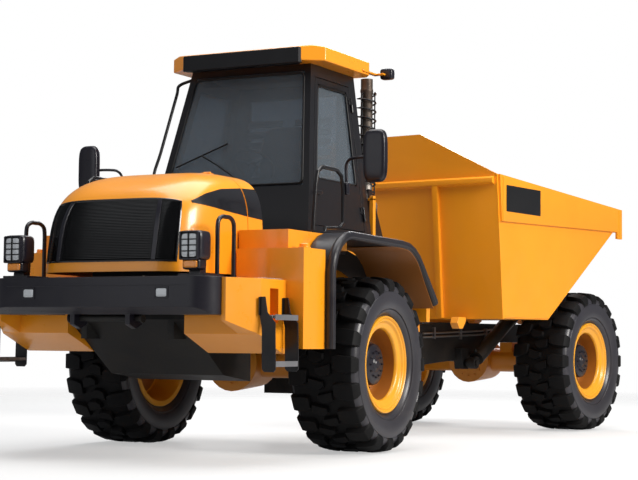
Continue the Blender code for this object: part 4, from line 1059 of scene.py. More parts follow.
class DUMPTRUCK_OT_hood(bpy.types.Operator):
    """Make the rounded hood, its grille, its side vents and the fixed cowl behind it"""

    bl_idname = "dumptruck.hood"
    bl_label = "Hood"

    def execute(self, context):
        sizes = context.scene.truck_hood
        form = bmesh.new()
        hood_shell(form)
        skin_piece("hood_skin", form, sizes.skin, "body_yellow", "hood", "yellow_paint", ("hood",))
        self.grille(sizes)
        self.vents()
        self.cowl(sizes)
        self.hinges()
        return {"FINISHED"}

    def grille(self, sizes):
        """Backing, slats, two upright bars and a bezel round the opening."""
        low, high = GRILLE_Z
        back = bmesh.new()
        xs = spread(-GRILLE_X - 0.03, GRILLE_X + 0.03, 24)
        zs = spread(low - 0.03, high + 0.03, 8)
        add_patch(back, xs, zs, lambda a, b: hood_point(a, -1, b, -0.024))
        skin_piece("grille_back", back, 0.004, "grille_black", "hood", "black_paint", ("grille",))
        slats = bmesh.new()
        for index in range(sizes.slats):
            level = low + (high - low) * (index + 0.5) / sizes.slats
            sections = []
            for x in spread(-GRILLE_X, GRILLE_X, 26):
                outer = hood_point(x, -1, level, -0.004)
                inner = hood_point(x, -1, level + 0.008, -0.018)
                sections.append((outer, outer + Vector((0, 0, 0.0035)), inner + Vector((0, 0, 0.0035)),
                                 inner))
            add_loft(slats, sections)
        piece("grille_slats", slats, "grille_black", "hood", "black_paint")
        bars = bmesh.new()
        for side in (-1, 1):
            sections = []
            for z in spread(low, high, 12):
                corners = []
                for x, out in ((0.60, 0.002), (0.655, 0.002), (0.655, -0.020), (0.60, -0.020)):
                    corners.append(hood_point(side * x, -1, z, out))
                sections.append(corners)
            add_loft(bars, sections)
        piece("grille_bars", bars, "moulded_dark", "hood", "black_paint", width=0.003)
        rim = bmesh.new()
        around = [(x, low) for x in spread(-GRILLE_X, GRILLE_X, 24)]
        around += [(GRILLE_X, z) for z in spread(low, high, 10)[1:]]
        around += [(x, high) for x in reversed(spread(-GRILLE_X, GRILLE_X, 24)[:-1])]
        around += [(-GRILLE_X, z) for z in reversed(spread(low, high, 10)[1:-1])]
        add_tube(rim, [hood_point(x, -1, z, -0.002) for x, z in around], 0.009, 8, loop=True)
        piece("grille_bezel", rim, "grille_black", "hood", "black_paint")

    def vents(self):
        """A black strip on each side, in one line over the hood and the cowl."""
        for side, word in SIDES:
            for name, body, start, stop, middle in (
                ("side_vent_", "hood", -1.74, -1.106, (0, -1.4, 1.85)),
                ("cowl_vent_", "tractor", -1.088, -0.884, (0, -1.0, 1.85)),
            ):
                strip = bmesh.new()
                fin_patch(strip, side, start, stop, VENT_LOWER, VENT_UPPER, 0.003)
                skin_piece(name + word, strip, 0.006, "vent_black", body, "black_paint", middle=middle)

    def cowl(self, sizes):
        front = HOOD["rear"] + 0.007
        form = bmesh.new()
        for columns, point in (
            (spread(-1, 1, 30), lambda a, y: self.at_rear(hood_point(a, 0, 1), y)),
            (spread(0, 1, 16), lambda a, y: self.at_rear(hood_point(1, 0, a), y)),
            (spread(0, 1, 16), lambda a, y: self.at_rear(hood_point(-1, 0, a), y)),
        ):
            add_patch(form, columns, spread(front, COWL_REAR, 3), point)
        bmesh.ops.remove_doubles(form, verts=form.verts, dist=1e-5)
        skin_piece("cowl_skin", form, sizes.skin, "body_yellow", "tractor", "yellow_paint", ("hood_cowl",),
                   middle=(0, -1.0, 1.6))
        wall = bmesh.new()
        section = [hood_point(a, 0, 1, -0.014) for a in spread(-1, 1, 30)]
        outline = [(point.x, point.z) for point in section]
        outline = [(-0.642, 1.335)] + outline + [(0.642, 1.335)]
        add_prism(wall, outline, "Y", -0.93, COWL_REAR - 0.003)
        add_box(wall, (-0.38, -0.925, 1.122), (0.38, -0.892, 1.34))
        piece("cowl_bulkhead", wall, "frame_dark", "tractor", "black_paint", width=0.003)
        self.bay_cover()

    @staticmethod
    def bay_cover():
        """A ribbed dark cover over the bay between the cowl and the cab."""
        cover = bmesh.new()
        add_box(cover, (-0.392, -0.935, 1.618), (0.392, -0.26, 1.630))
        for x in spread(-0.33, 0.33, 8):
            add_box(cover, (x - 0.012, -0.86, 1.630), (x + 0.012, -0.36, 1.640))
        piece("bay_cover", cover, "moulded_dark", "tractor", "black_paint", width=0.003)

    @staticmethod
    def at_rear(point, y):
        return Vector((point.x, y, point.z))

    def hinges(self):
        """Two knuckles on the hood beside two on the cowl, on one line."""
        half_length = 0.0145
        for body, offset, toward in (("hood", 0.285, -1), ("tractor", 0.315, 1)):
            form = bmesh.new()
            for side in (-1, 1):
                left, right = side * offset - half_length, side * offset + half_length
                add_rod(form, (left, HINGE_Y, 2.10), (right, HINGE_Y, 2.10), 0.010, 16)
                near, far = HINGE_Y + toward * 0.0055, HINGE_Y + toward * 0.045
                add_box(form, (left, near, 2.075), (right, far, 2.0995))
            piece(f"hood_hinges_{body}", form, "body_yellow", body, "yellow_paint", width=0.0015)


# ---------------------------------------------------------------- plain solids that keep their shape

DRESSED = (
    ("body_yellow", 0.010, (
        "corner_fairing_left", "corner_fairing_right", "side_box_left", "side_box_right", "rear_deck",
        "cab_roof",
    )),
    ("bed_yellow", 0.004, ("bed_floor", "bed_ramp", "bed_front_wall", "bed_side_left", "bed_side_right")),
    ("wheel_yellow", 0.006, ("front_axle", "rear_axle")),
    ("dark_satin", 0.004, (
        "cab_frame", "cab_right_panel", "cab_rear_panel", "door", "handrail_left", "handrail_right",
    )),
    ("moulded_dark", 0.014, ("front_bumper",)),
    ("fender_plastic", 0.008, ("fender_left", "fender_right")),
    ("frame_dark", 0.004, (
        "front_frame", "hitch_yoke", "rear_frame", "engine_block", "tip_cylinder_left_barrel",
        "tip_cylinder_right_barrel", "steer_cylinder_left_barrel", "steer_cylinder_right_barrel",
    )),
    ("bare_steel", 0.002, (
        "tip_cylinder_left_rod", "tip_cylinder_right_rod", "steer_cylinder_left_rod",
        "steer_cylinder_right_rod",
    )),
)
GLAZING = ("windscreen", "right_window", "rear_window", "door_window")


class DUMPTRUCK_OT_bodywork(bpy.types.Operator):
    """Finish the plain solids: rounded edges and paint, and glass in the windows"""

    bl_idname = "dumptruck.bodywork"
    bl_label = "Bodywork"

    def execute(self, context):
        for finish_name, width, nodes in DRESSED:
            for node in nodes:
                dress(node, finish_name, width)
        for node in GLAZING:
            finish_solid(node, "cab_glass")
        return {"FINISHED"}


# ---------------------------------------------------------------- front end


def add_bars(form, x, z, near, far, bars):
    """Flat bars about a lamp's middle, each from (left, foot) to (right, head)."""
    for (left, foot), (right, head) in bars:
        add_box(form, (x + left, near, z + foot), (x + right, far, z + head))


def add_stud_grid(form, low, high, columns, rows, finish_name):
    """Raised lozenges on a level plate between two corners, for grip."""
    stud = bmesh.new()
    add_loft(stud, (
        [(-0.011, 0, 0), (0, -0.0045, 0), (0.011, 0, 0), (0, 0.0045, 0)],
        [(-0.008, 0, 0.0028), (0, -0.003, 0.0028), (0.008, 0, 0.0028), (0, 0.003, 0.0028)],
    ))
    turn = Matrix.Rotation(math.radians(40), 3, "Z")
    bmesh.ops.rotate(stud, verts=stud.verts, cent=ORIGIN, matrix=turn)
    size = {"Columns": columns, "Rows": rows, "Width": high[0] - low[0], "Depth": high[1] - low[1]}
    studs = run_tree("studs", stud, grid_tree(), size, finish_name)
    middle = ((low[0] + high[0]) / 2, (low[1] + high[1]) / 2, low[2])
    add_form(form, studs, Matrix.Translation(middle))


def bolt_head(radius, rise):
    """A six-sided bolt head on a washer, standing on the XY plane."""
    form = bmesh.new()
    washer = radius * 1.5
    add_lathe(form, [(0, -0.002), (washer, -0.002), (washer, 0.002), (0, 0.002)], ORIGIN, Z_AXIS, 12)
    head = [(0, 0), (radius, 0), (radius, rise * 0.85), (radius * 0.8, rise), (0, rise)]
    add_lathe(form, head, ORIGIN, Z_AXIS, 6)
    return form


def add_bolt_row(form, count, length, at, finish_name):
    """Bolt heads in a row along Y on a level face."""
    row = {"Columns": count, "Rows": 1, "Width": length, "Depth": 0.0}
    add_form(form, run_tree("bolts", bolt_head(0.009, 0.007), grid_tree(), row, finish_name),
             facing(Z_AXIS, at))


def facing(direction, at):
    """Sets the XY plane at a point so that its Z looks along a direction."""
    side, up = frame_along(direction)
    turn = Matrix((side, up, Vector(direction).normalized())).transposed().to_4x4()
    return Matrix.Translation(at) @ turn


LAMP_X = 0.75
LENS_HEIGHT = 1.499
BUMPER_LAMP_X = 0.563
BUMPER_LAMP_HEIGHT = 1.178
PIN_Y = -1.94
PIN_HEIGHT = 1.005


class DUMPTRUCK_OT_front(bpy.types.Operator):
    """Make the head lamps with their rails, the bumper lamps, the steps, the grip plates and the tow pin"""

    bl_idname = "dumptruck.front"
    bl_label = "Front end"

    def execute(self, context):
        for side, word in SIDES:
            self.lamp(side, word)
            self.steps(side, word)
            self.grip(side, word)
        self.bumper()
        return {"FINISHED"}

    def lamp(self, side, word):
        """A lamp housing on its mast, with an indicator below it and a rail loop beside it."""
        x = side * LAMP_X
        form = bmesh.new()
        add_box(form, (x - 0.108, -2.018, 1.2905), (x + 0.108, -1.762, 1.309))
        add_prism(form, [(-1.98, 1.30), (-1.90, 1.30), (-1.89, 1.42), (-1.96, 1.42)], "X", x - 0.045,
                  x + 0.045)
        add_pad(form, (0.186, 0.15, 0.205), 7, (x, -1.974, 1.500))
        add_pad(form, (0.140, 0.10, 0.075), 7, (x, -1.980, 1.372))
        add_bars(form, x, 1.497, -2.058, -2.040, (
            ((-0.068, 0.090), (0.068, 0.098)), ((-0.068, -0.098), (0.068, -0.086)),
            ((-0.076, -0.095), (-0.062, 0.095)), ((0.062, -0.095), (0.076, 0.095)),
        ))
        loop = [(-1.80, 1.30), (-1.80, 1.50), (-1.80, 1.64), (-1.785, 1.69), (-1.74, 1.7135), (-1.69, 1.7145),
                (-1.64, 1.7135), (-1.595, 1.69), (-1.58, 1.64), (-1.58, 1.50), (-1.58, 1.30)]
        add_tube(form, smooth_path([(side * 0.824, y, z) for y, z in loop], 4), 0.0155, 14)
        piece("lamp_housing_" + word, form, "moulded_dark", "tractor", "black_paint", width=0.003,
              nodes=("front_lamp_" + word,))
        place = (x, -2.042, LENS_HEIGHT)
        pad_piece("head_lens_" + word, (0.118, 0.03, 0.160), 8, place, "clear_lens", "window_glass")
        guard = bmesh.new()
        for rise in (-0.04, 0.0, 0.04):
            level = LENS_HEIGHT + rise
            add_box(guard, (x - 0.062, -2.064, level - 0.004), (x + 0.062, -2.056, level + 0.004))
        add_box(guard, (x - 0.005, -2.064, 1.41), (x + 0.005, -2.056, 1.588))
        piece("lens_guard_" + word, guard, "soft_rubber", "tractor", "black_paint", width=0.001)
        place = (x, -2.028, 1.372)
        pad_piece("indicator_lens_" + word, (0.110, 0.02, 0.050), 8, place, "amber_lens", "window_glass")

    def steps(self, side, word):
        """Two hanging plates with serrated treads between them."""
        form = bmesh.new()
        outline = [(side * x, z) for x, z in (
            (1.1105, 1.158), (1.152, 1.158), (1.170, 1.05), (1.232, 0.98), (1.238, 0.66), (1.222, 0.642),
            (1.150, 0.642), (1.132, 0.66), (1.128, 0.95), (1.1105, 1.02),
        )]
        for y in (-1.700, -1.372):
            add_prism(form, outline, "Y", y - 0.006, y + 0.006)
            add_box(form, (side * 1.1105, y - 0.02, 1.03), (side * 1.118, y + 0.02, 1.155))
        piece("step_plates_" + word, form, "dark_satin", "tractor", "black_paint", width=0.002,
              nodes=("ladder_" + word,))
        treads = bmesh.new()
        for level in (0.690, 1.010):
            inner, outer = sorted((side * 1.134, side * 1.232))
            for share in (0.0, 0.25, 0.5, 0.75, 1.0):
                x = inner + (outer - inner - 0.008) * share
                add_box(treads, (x, -1.693, level), (x + 0.008, -1.379, level + 0.022))
            for y in (-1.66, -1.60, -1.536, -1.472, -1.412):
                add_box(treads, (inner, y - 0.003, level + 0.002), (outer, y + 0.003, level + 0.018))
            lip = side * 1.232
            add_box(treads, (lip - 0.004, -1.693, level - 0.012), (lip + 0.004, -1.379, level + 0.026))
        piece("step_treads_" + word, treads, "tread_steel", "tractor", "bright_steel")

    def grip(self, side, word):
        """A bright grip plate on the front corner, and studs along the side deck."""
        form = bmesh.new()
        inner, outer = sorted((side * 0.90, side * 1.10))
        add_box(form, (inner, -1.60, 1.2855), (outer, -1.345, 1.2895))
        add_stud_grid(form, (inner + 0.02, -1.585, 1.2895), (outer - 0.02, -1.36, 1.2895), 7, 8, "bare_steel")
        piece("grip_plate_" + word, form, "tread_steel", "tractor", "bright_steel")
        deck = bmesh.new()
        inner, outer = sorted((side * 0.79, side * 0.98))
        add_stud_grid(deck, (inner, -1.18, 1.6550), (outer, -0.40, 1.6550), 8, 30, "body_yellow")
        filler_cap = [
            (0, 0), (0.046, 0), (0.046, 0.012), (0.038, 0.014), (0.038, 0.034), (0.034, 0.038), (0, 0.038),
        ]
        add_lathe(deck, filler_cap, (side * 1.165, -1.165, 1.515), Z_AXIS, 28)
        piece("deck_studs_" + word, deck, "body_yellow", "tractor", "yellow_paint")

    def bumper(self):
        """The bumper's lamps with their trim, its bolts and the tow pin."""
        lens = bmesh.new()
        dark = bmesh.new()
        bolts = bmesh.new()
        for side, _ in SIDES:
            x = side * BUMPER_LAMP_X
            add_pad(lens, (0.085, 0.016, 0.056), 8, (x, -2.094, BUMPER_LAMP_HEIGHT))
            add_bars(dark, x, BUMPER_LAMP_HEIGHT, -2.101, -2.090, (
                ((-0.056, 0.030), (0.056, 0.040)), ((-0.056, -0.040), (0.056, -0.030)),
                ((-0.056, -0.030), (-0.044, 0.030)), ((0.044, -0.030), (0.056, 0.030)),
            ))
            add_bolt_row(bolts, 3, 0.22, (side * 0.36, -1.90, 1.290), "frame_dark")
        add_box(dark, (-0.76, -2.0985, 1.226), (0.76, -2.090, 1.230))
        piece("bumper_lenses", lens, "clear_lens", "tractor", "window_glass")
        piece("bumper_trim", dark, "moulded_dark", "tractor", "black_paint", width=0.002)
        pin = bmesh.new()
        add_rod(pin, (-0.30, PIN_Y, PIN_HEIGHT), (0.30, PIN_Y, PIN_HEIGHT), 0.022, 24)
        for side, _ in SIDES:
            add_rod(pin, (side * 0.30, PIN_Y, PIN_HEIGHT), (side * 0.315, PIN_Y, PIN_HEIGHT), 0.034, 24)
        piece("tow_pin", pin, "frame_dark", "tractor", "bright_steel", width=0.003)
        piece("bumper_bolts", bolts, "nut_steel", "tractor", "bright_steel")


# ---------------------------------------------------------------- cab

CAB_FLOOR = 1.6553
CAB_HEIGHT = 1.4347


def cab_front(level):
    """Outer face of the cab's sloping front at a height."""
    return -0.33 + 0.38 * (level - CAB_FLOOR) / CAB_HEIGHT


def cab_half(level):
    """Outer half width of the cab at a height."""
    return 0.75 - 0.19 * (level - CAB_FLOOR) / CAB_HEIGHT


class DUMPTRUCK_OT_cab(bpy.types.Operator):
    """Make the roof visor, window seals, wiper, handles, mirrors and work lamp"""

    bl_idname = "dumptruck.cab"
    bl_label = "Cab fittings"

    def execute(self, context):
        self.roof()
        self.seals()
        self.wiper()
        self.bars()
        for side, word in SIDES:
            self.mirror(side, word)
        return {"FINISHED"}

    def roof(self):
        """The visor over the windscreen, and a work lamp on its bracket."""
        form = bmesh.new()
        outline = [(-0.560, -0.104), (-0.535, -0.133), (0.535, -0.133), (0.560, -0.104), (0.50, -0.03),
                   (-0.50, -0.03)]
        add_prism(form, outline, "Z", 3.072, 3.200)
        piece("roof_visor", form, "visor_black", "tractor", "black_paint", width=0.008)
        bracket = bmesh.new()
        add_box(bracket, (0.690, 0.66, 3.110), (0.735, 0.96, 3.124))
        add_box(bracket, (0.700, 0.90, 3.110), (0.800, 0.96, 3.124))
        piece("work_lamp_bracket", bracket, "body_yellow", "tractor", "yellow_paint", width=0.003)
        place = (0.800, 0.985, 3.125)
        pad_piece("work_lamp", (0.115, 0.075, 0.095), 5, place, "moulded_dark", "black_paint")
        place = (0.800, 1.022, 3.125)
        pad_piece("work_lamp_lens", (0.095, 0.012, 0.075), 6, place, "clear_lens", "window_glass")

    def seals(self):
        """Rubber round the windscreen and the side windows."""
        front = bmesh.new()
        corners = [(1, 2.095), (1, 3.015), (-1, 3.015), (-1, 2.095)]
        path = [(s * (cab_half(z) - 0.060), cab_front(z) - 0.001, z) for s, z in corners]
        add_tube(front, self.rounded(path), 0.009, 10, loop=True)
        piece("windscreen_seal", front, "soft_rubber", "tractor", "black_paint")
        for side, body in ((1, "left_door"), (-1, "tractor")):
            form = bmesh.new()
            corners = [(0.135, 2.148), (None, 2.148), (None, 2.925), (0.135, 2.925)]
            path = []
            for back, z in corners:
                y = 0.640 if back is None else cab_front(z) + back
                path.append((side * (cab_half(z) - 0.006), y, z))
            add_tube(form, self.rounded(path), 0.008, 10, loop=True)
            piece("side_seal_" + body, form, "soft_rubber", body, "black_paint")

    @staticmethod
    def rounded(path, radius=0.05):
        """Cuts the corners of a closed path with short curves."""
        points = [Vector(point) for point in path]
        result = []
        for index, corner in enumerate(points):
            before = (points[index - 1] - corner).normalized() * radius
            after = (points[(index + 1) % len(points)] - corner).normalized() * radius
            for step in range(6):
                t = step / 5
                result.append(corner + before * (1 - t) ** 2 + after * t ** 2)
        return result

    def wiper(self):
        """The wiper's arm and blade on the windscreen."""
        form = bmesh.new()
        foot, elbow, tip = (0.12, 2.10), (-0.16, 2.27), (-0.33, 2.36)
        points = [(x, cab_front(z) - 0.030, z) for x, z in (foot, elbow, tip)]
        add_tube(form, [(foot[0], cab_front(2.10) + 0.01, 2.09), *points], 0.007, 8)
        blade = [(x, cab_front(z) - 0.014, z) for x, z in ((-0.56, 2.27), (-0.33, 2.36), (-0.10, 2.45))]
        add_tube(form, blade, 0.007, 8)
        near, far = cab_front(2.10) - 0.035, cab_front(2.10) + 0.01
        add_rod(form, (foot[0], near, 2.10), (foot[0], far, 2.10), 0.018, 16)
        piece("wiper", form, "soft_rubber", "tractor", "black_paint")

    def bars(self):
        """The long grab bar outside the right front pillar, and the door's handle."""
        form = bmesh.new()
        points = [(-cab_half(2.18) + 0.01, cab_front(2.18) + 0.02, 2.18)]
        for z in (2.20, 2.40, 2.65, 2.90, 2.98):
            points.append((-cab_half(z) - 0.085, cab_front(z) - 0.020, z))
        points.append((-cab_half(3.03) + 0.01, cab_front(3.03) + 0.02, 3.03))
        add_tube(form, smooth_path(points, 5), 0.013, 12)
        piece("pillar_grab_bar", form, "dark_satin", "tractor", "black_paint")
        handle = bmesh.new()
        add_pad(handle, (0.020, 0.13, 0.030), 4, (cab_half(2.03) + 0.018, -0.10, 2.03))
        for y in (-0.15, -0.05):
            add_rod(handle, (cab_half(2.03) - 0.01, y, 2.03), (cab_half(2.03) + 0.016, y, 2.03), 0.008, 12)
        piece("door_handle", handle, "dark_satin", "left_door", "black_paint")

    def mirror(self, side, word):
        """A mirror in its case, on an arm from the hand rail."""
        form = bmesh.new()
        case = rounded_box_form((0.198, 0.068, 0.405), 4.5, 10)
        for vert in case.verts:
            if vert.co.y < 0:
                vert.co.x *= 0.93
                vert.co.z *= 0.97
        add_form(form, case, Matrix.Translation((side * 1.325, -0.340, 2.265)))
        rail = side * 1.04
        arm = [(rail, -0.257, 1.985), (rail, -0.257, 2.12), (rail, -0.262, 2.20), (side * 1.075, -0.28, 2.25),
               (side * 1.15, -0.30, 2.262), (side * 1.30, -0.325, 2.262)]
        add_tube(form, smooth_path(arm, 5), 0.0115, 12)
        add_pad(form, (0.050, 0.060, 0.098), 6, (rail, -0.263, 2.030))
        piece("mirror_case_" + word, form, "moulded_dark", "tractor", "black_paint",
              nodes=("mirror_" + word,))
        place = (side * 1.325, -0.3065, 2.265)
        pad_piece("mirror_glass_" + word, (0.172, 0.006, 0.370), 7, place, "mirror_glass", "window_glass")


class DUMPTRUCK_OT_interior(bpy.types.Operator):
    """Make the driver's padded seat, the steering wheel with its console, the side console and the blinds"""

    bl_idname = "dumptruck.interior"
    bl_label = "Cab interior"

    def execute(self, context):
        self.seat()
        self.steering()
        self.blinds()
        return {"FINISHED"}

    @staticmethod
    def blinds():
        """Two banks of pale slats inside the rear window."""
        form = bmesh.new()
        for low, high in ((-0.40, -0.06), (0.06, 0.40)):
            for step in range(7):
                level = 2.16 + step * 0.088
                add_prism(form, [(0.700, level), (0.706, level - 0.004), (0.730, level + 0.052),
                                 (0.724, level + 0.056)],
                          "X", low, high)
        piece("rear_blinds", form, "blind_grey", "tractor", "black_paint")

    @staticmethod
    def cushion(size, channels, along):
        """A crowned pad whose sides pull in between its corners, with sewn channels on its face."""
        form = rounded_box_form(size, 4.2, 16)
        for vert in form.verts:
            u, v, w = (value / edge * 2 for value, edge in zip(vert.co, size))
            crown = max(0.0, 1 - u * u) * max(0.0, 1 - v * v)
            vert.co.z += 0.018 * crown * (1 if w > 0 else 0.3)
            vert.co.x -= 0.016 * u * (1 - v * v) * (1 - abs(w) * 0.5)
            vert.co.y -= 0.016 * v * (1 - u * u) * (1 - abs(w) * 0.5)
            place = u if along == "X" else v
            if w > 0.2:
                for channel in channels:
                    vert.co.z -= 0.012 * math.exp(-((place - channel) / 0.07) ** 2)
        return form

    def seat(self):
        """The padded seat on its suspension."""
        base = bmesh.new()
        for index in range(6):
            spread_by = 0.012 * (index % 2)
            low = 1.712 + 0.036 * index
            add_box(base, (-0.155 - spread_by, 0.25 - spread_by, low),
                    (0.155 + spread_by, 0.55 + spread_by, low + 0.036))
        add_box(base, (-0.19, 0.20, 1.928), (0.19, 0.58, 1.960))
        piece("seat_suspension", base, "soft_rubber", "tractor", "black_paint", width=0.006)
        pad = self.cushion((0.49, 0.49, 0.125), (-0.5, 0.5), "X")
        pad.transform(Matrix.Translation((0, 0.365, 2.022)))
        pad.transform(TRACTOR)
        obj = object_from("seat_cushion", pad, "seat_cloth", 60.0)
        attach(obj, "tractor", "seat_cloth", "driver_seat")
        back = self.cushion((0.455, 0.60, 0.105), (-0.45, 0.05, 0.55), "Y")
        back.transform(Matrix.Translation((0, 0.632, 2.385)) @ Matrix.Rotation(math.radians(80), 4, "X"))
        back.transform(TRACTOR)
        obj = object_from("seat_back", back, "seat_cloth", 60.0)
        attach(obj, "tractor", "seat_cloth")

    def steering(self):
        """The dashboard, the steering wheel and the side console with its lever."""
        form = bmesh.new()
        outline = [(-0.215, 1.712), (-0.085, 1.712), (-0.025, 2.128), (-0.10, 2.165), (-0.160, 2.012)]
        add_prism(form, outline, "X", -0.315, 0.315)
        base, hub = Vector((0, -0.06, 2.09)), Vector((0, 0.12, 2.291))
        lean = (hub - base).normalized()
        add_rod(form, base, hub - lean * 0.01, 0.032, 20)
        add_rod(form, hub - lean * 0.02, hub + lean * 0.008, 0.045, 24)
        side, up = frame_along(lean)
        ring = []
        for index in range(40):
            angle = 2 * math.pi * index / 40
            ring.append(hub + (side * math.cos(angle) + up * math.sin(angle)) * 0.172)
        add_tube(form, ring, 0.013, 10, loop=True)
        for angle in (0.5, 2.6, 4.7):
            reach = side * math.cos(angle) + up * math.sin(angle)
            add_rod(form, hub + reach * 0.03, hub + reach * 0.168, 0.009, 10)
        piece("steering_wheel_and_console", form, "moulded_dark", "tractor", "black_paint", width=0.003,
              nodes=("steering_console",))
        lever = bmesh.new()
        stick = smooth_path([(-0.36, 0.30, 1.95), (-0.36, 0.26, 2.10), (-0.355, 0.22, 2.20)], 4)
        add_tube(lever, stick, 0.009, 10)
        add_pad(lever, (0.04, 0.04, 0.07), 3, (-0.355, 0.215, 2.22))
        add_pad(lever, (0.14, 0.36, 0.24), 8, (-0.36, 0.34, 1.832))
        piece("side_console", lever, "moulded_dark", "tractor", "black_paint")


# ---------------------------------------------------------------- behind the cab


class DUMPTRUCK_OT_exhaust(bpy.types.Operator):
    """Make the exhaust with its wire guard, the deck's plate and post, and the parts about the fenders"""

    bl_idname = "dumptruck.exhaust"
    bl_label = "Exhaust and deck"

    def execute(self, context):
        x, y = 0.56, 1.08
        form = bmesh.new()
        add_lathe(form, [
            (0.0, 1.7005), (0.085, 1.7005), (0.098, 1.712), (0.0995, 1.74), (0.0965, 1.745), (0.0965, 2.005),
            (0.0995, 2.01),
            (0.098, 2.032), (0.080, 2.050), (0.056, 2.058), (0.052, 2.075), (0.052, 2.99), (0.056, 3.00),
            (0.056, 3.02),
            (0.052, 3.03), (0.052, 3.112), (0.046, 3.112), (0.046, 2.90), (0.0, 2.90),
        ], (x, y, 0), Z_AXIS, 40)
        piece("exhaust_pipe", form, "exhaust_metal", "tractor", "exhaust_steel", nodes=("exhaust_stack",))
        seed = bmesh.new()
        add_box(seed, (-0.01, -0.01, 0), (0.01, 0.01, 0.01))
        guard = run_tree("guard", seed, coil_tree(),
                         {"Turns": 11.0, "Radius": 0.078, "Height": 0.86, "Wire": 0.0085}, "dark_satin")
        guard.transform(Matrix.Translation((x, y, 2.13)))
        for angle in (0.4, 2.5, 4.6):
            foot = (x + 0.070 * math.cos(angle), y + 0.070 * math.sin(angle))
            add_rod(guard, (*foot, 2.10), (*foot, 3.00), 0.006, 10)
            for level in (2.115, 2.985):
                add_rod(guard, (x, y, level), (*foot, level), 0.006, 10)
        piece("exhaust_guard", guard, "dark_satin", "tractor", "black_paint", smooth=50.0)
        plates = bmesh.new()
        add_prism(plates, [(0.872, 1.7005), (1.19, 1.7005), (0.93, 2.14), (0.872, 2.14)], "X", 0.672, 0.686)
        piece("deck_gusset", plates, "dark_satin", "tractor", "black_paint", width=0.003)
        post = bmesh.new()
        add_box(post, (0.706, 0.845, 1.50), (0.742, 0.895, 2.08))
        add_box(post, (0.690, 0.845, 2.04), (0.742, 0.895, 2.06))
        piece("deck_post", post, "body_yellow", "tractor", "yellow_paint", width=0.004)
        for side, word in SIDES:
            form = bmesh.new()
            head = [(0.845, 1.02), (0.912, 1.02), (0.918, 1.165), (0.905, 1.178), (0.845, 1.215)]
            add_prism(form, head, "X", side * 1.09, side * 1.235)
            stem = [(0.80, 0.90), (0.875, 0.90), (0.880, 1.03), (0.850, 1.03)]
            add_prism(form, stem, "X", side * 1.12, side * 1.16)
            piece("fender_bracket_" + word, form, "body_yellow", "tractor", "yellow_paint", width=0.003)
            self.lining(side, word)
            self.fender_edge(side, word)
        return {"FINISHED"}

    @staticmethod
    def fender_edge(side, word):
        """The fender's rolled outer edge, and a dark sheet on the wall above the wheel."""
        path = [(-0.9775, 0.803), (-0.9775, 1.36), *arc(-0.660, 1.32, 0.3175, 165, 94, -10), (0.22, 1.6225)]
        path += [*arc(0.25, 1.165, 0.4575, 78, 39, -6), (0.884, 1.174)]
        edge = bmesh.new()
        add_tube(edge, [(side * 1.286, y, z) for y, z in path], 0.034, 14)
        piece("fender_edge_" + word, edge, "fender_plastic", "tractor", "black_paint")
        outline = [
            *arc(0, AXLE_HEIGHT, 0.745, 150, 29, -6), (0.70, 1.29), (0.55, 1.46), (0.44, 1.545), (0.22, 1.59),
            (-0.60, 1.59), (-0.80, 1.53), (-0.90, 1.40), (-0.90, 1.10),
        ]
        sheet = bmesh.new()
        add_prism(sheet, outline, "X", side * 0.792, side * 0.800)
        piece("wheel_well_" + word, sheet, "frame_dark", "tractor", "black_paint")

    @staticmethod
    def lining(side, word):
        """A sheet under the rear part of the fender's arch, in a dark copy of the yellow paint: painted shade
        under the fender.
        """
        line = smooth_path([
            (0, 0.02, 1.597), (0, 0.22, 1.592), (0, 0.36, 1.577), (0, 0.48, 1.520), (0, 0.56, 1.450),
            (0, 0.66, 1.33), (0, 0.835, 1.135),
        ], 3)
        form = bmesh.new()
        inner, outer = sorted((side * 0.80, side * 1.30))
        sections = []
        for _, y, z in line:
            lower_y, lower_z = y - 0.003, z - 0.004
            sections.append((
                (inner, y, z), (outer, y, z), (outer, lower_y, lower_z), (inner, lower_y, lower_z),
            ))
        add_loft(form, sections)
        piece("fender_lining_" + word, form, "lining_yellow", "tractor", "yellow_paint")


# ---------------------------------------------------------------- bed and chassis


class DUMPTRUCK_OT_bed(bpy.types.Operator):
    """Make the bed's blank name plates, its ribs and weld beads, and the lugs at its front"""

    bl_idname = "dumptruck.bed"
    bl_label = "Bed details"

    def execute(self, context):
        plate = bmesh.new()
        for side, _ in SIDES:
            add_box(plate, (side * 1.2715, 2.53, 2.045), (side * 1.2755, 3.20, 2.285))
        piece("blank_plates", plate, "plate_black",
              "bed", "black_paint", TRAILER, width=0.0015)
        form = bmesh.new()
        for side, _ in SIDES:
            for y in (2.475, 4.975):
                top = 2.36 if y < 3 else 2.235
                add_box(form, (side * 1.2545, y - 0.012, 1.955), (side * 1.2775, y + 0.012, top))
            self.bead(form, [(side * 1.2515, 2.56, 1.09), (side * 1.2515, 3.40, 1.09),
                             (side * 1.2515, 4.84, 1.995)])
            self.bead(form, [(side * 1.2525, 2.437, 1.947), (side * 1.2525, 4.92, 1.997)])
            self.bead(form, [(side * 0.645, 2.507, 1.10), (side * 0.645, 2.402, 2.28)])
            self.bead(form, [(side * 0.575, 2.507, 1.10), (side * 0.575, 2.402, 2.28)])
        piece("bed_ribs_and_welds", form, "bed_yellow", "bed", "yellow_paint", TRAILER, width=0.0015)
        lug = bmesh.new()
        for side, _ in SIDES:
            outline = [(2.49, 1.085), (2.36, 1.085), (2.335, 1.03), (2.37, 0.98), (2.43, 0.98), (2.49, 1.05)]
            add_prism(lug, outline, "X", side * 0.80, side * 0.88)
        piece("bed_front_lugs", lug, "bed_yellow", "bed", "yellow_paint", TRAILER, width=0.004)
        return {"FINISHED"}

    @staticmethod
    def bead(form, path):
        """A run of weld."""
        add_tube(form, path, 0.0045, 8)


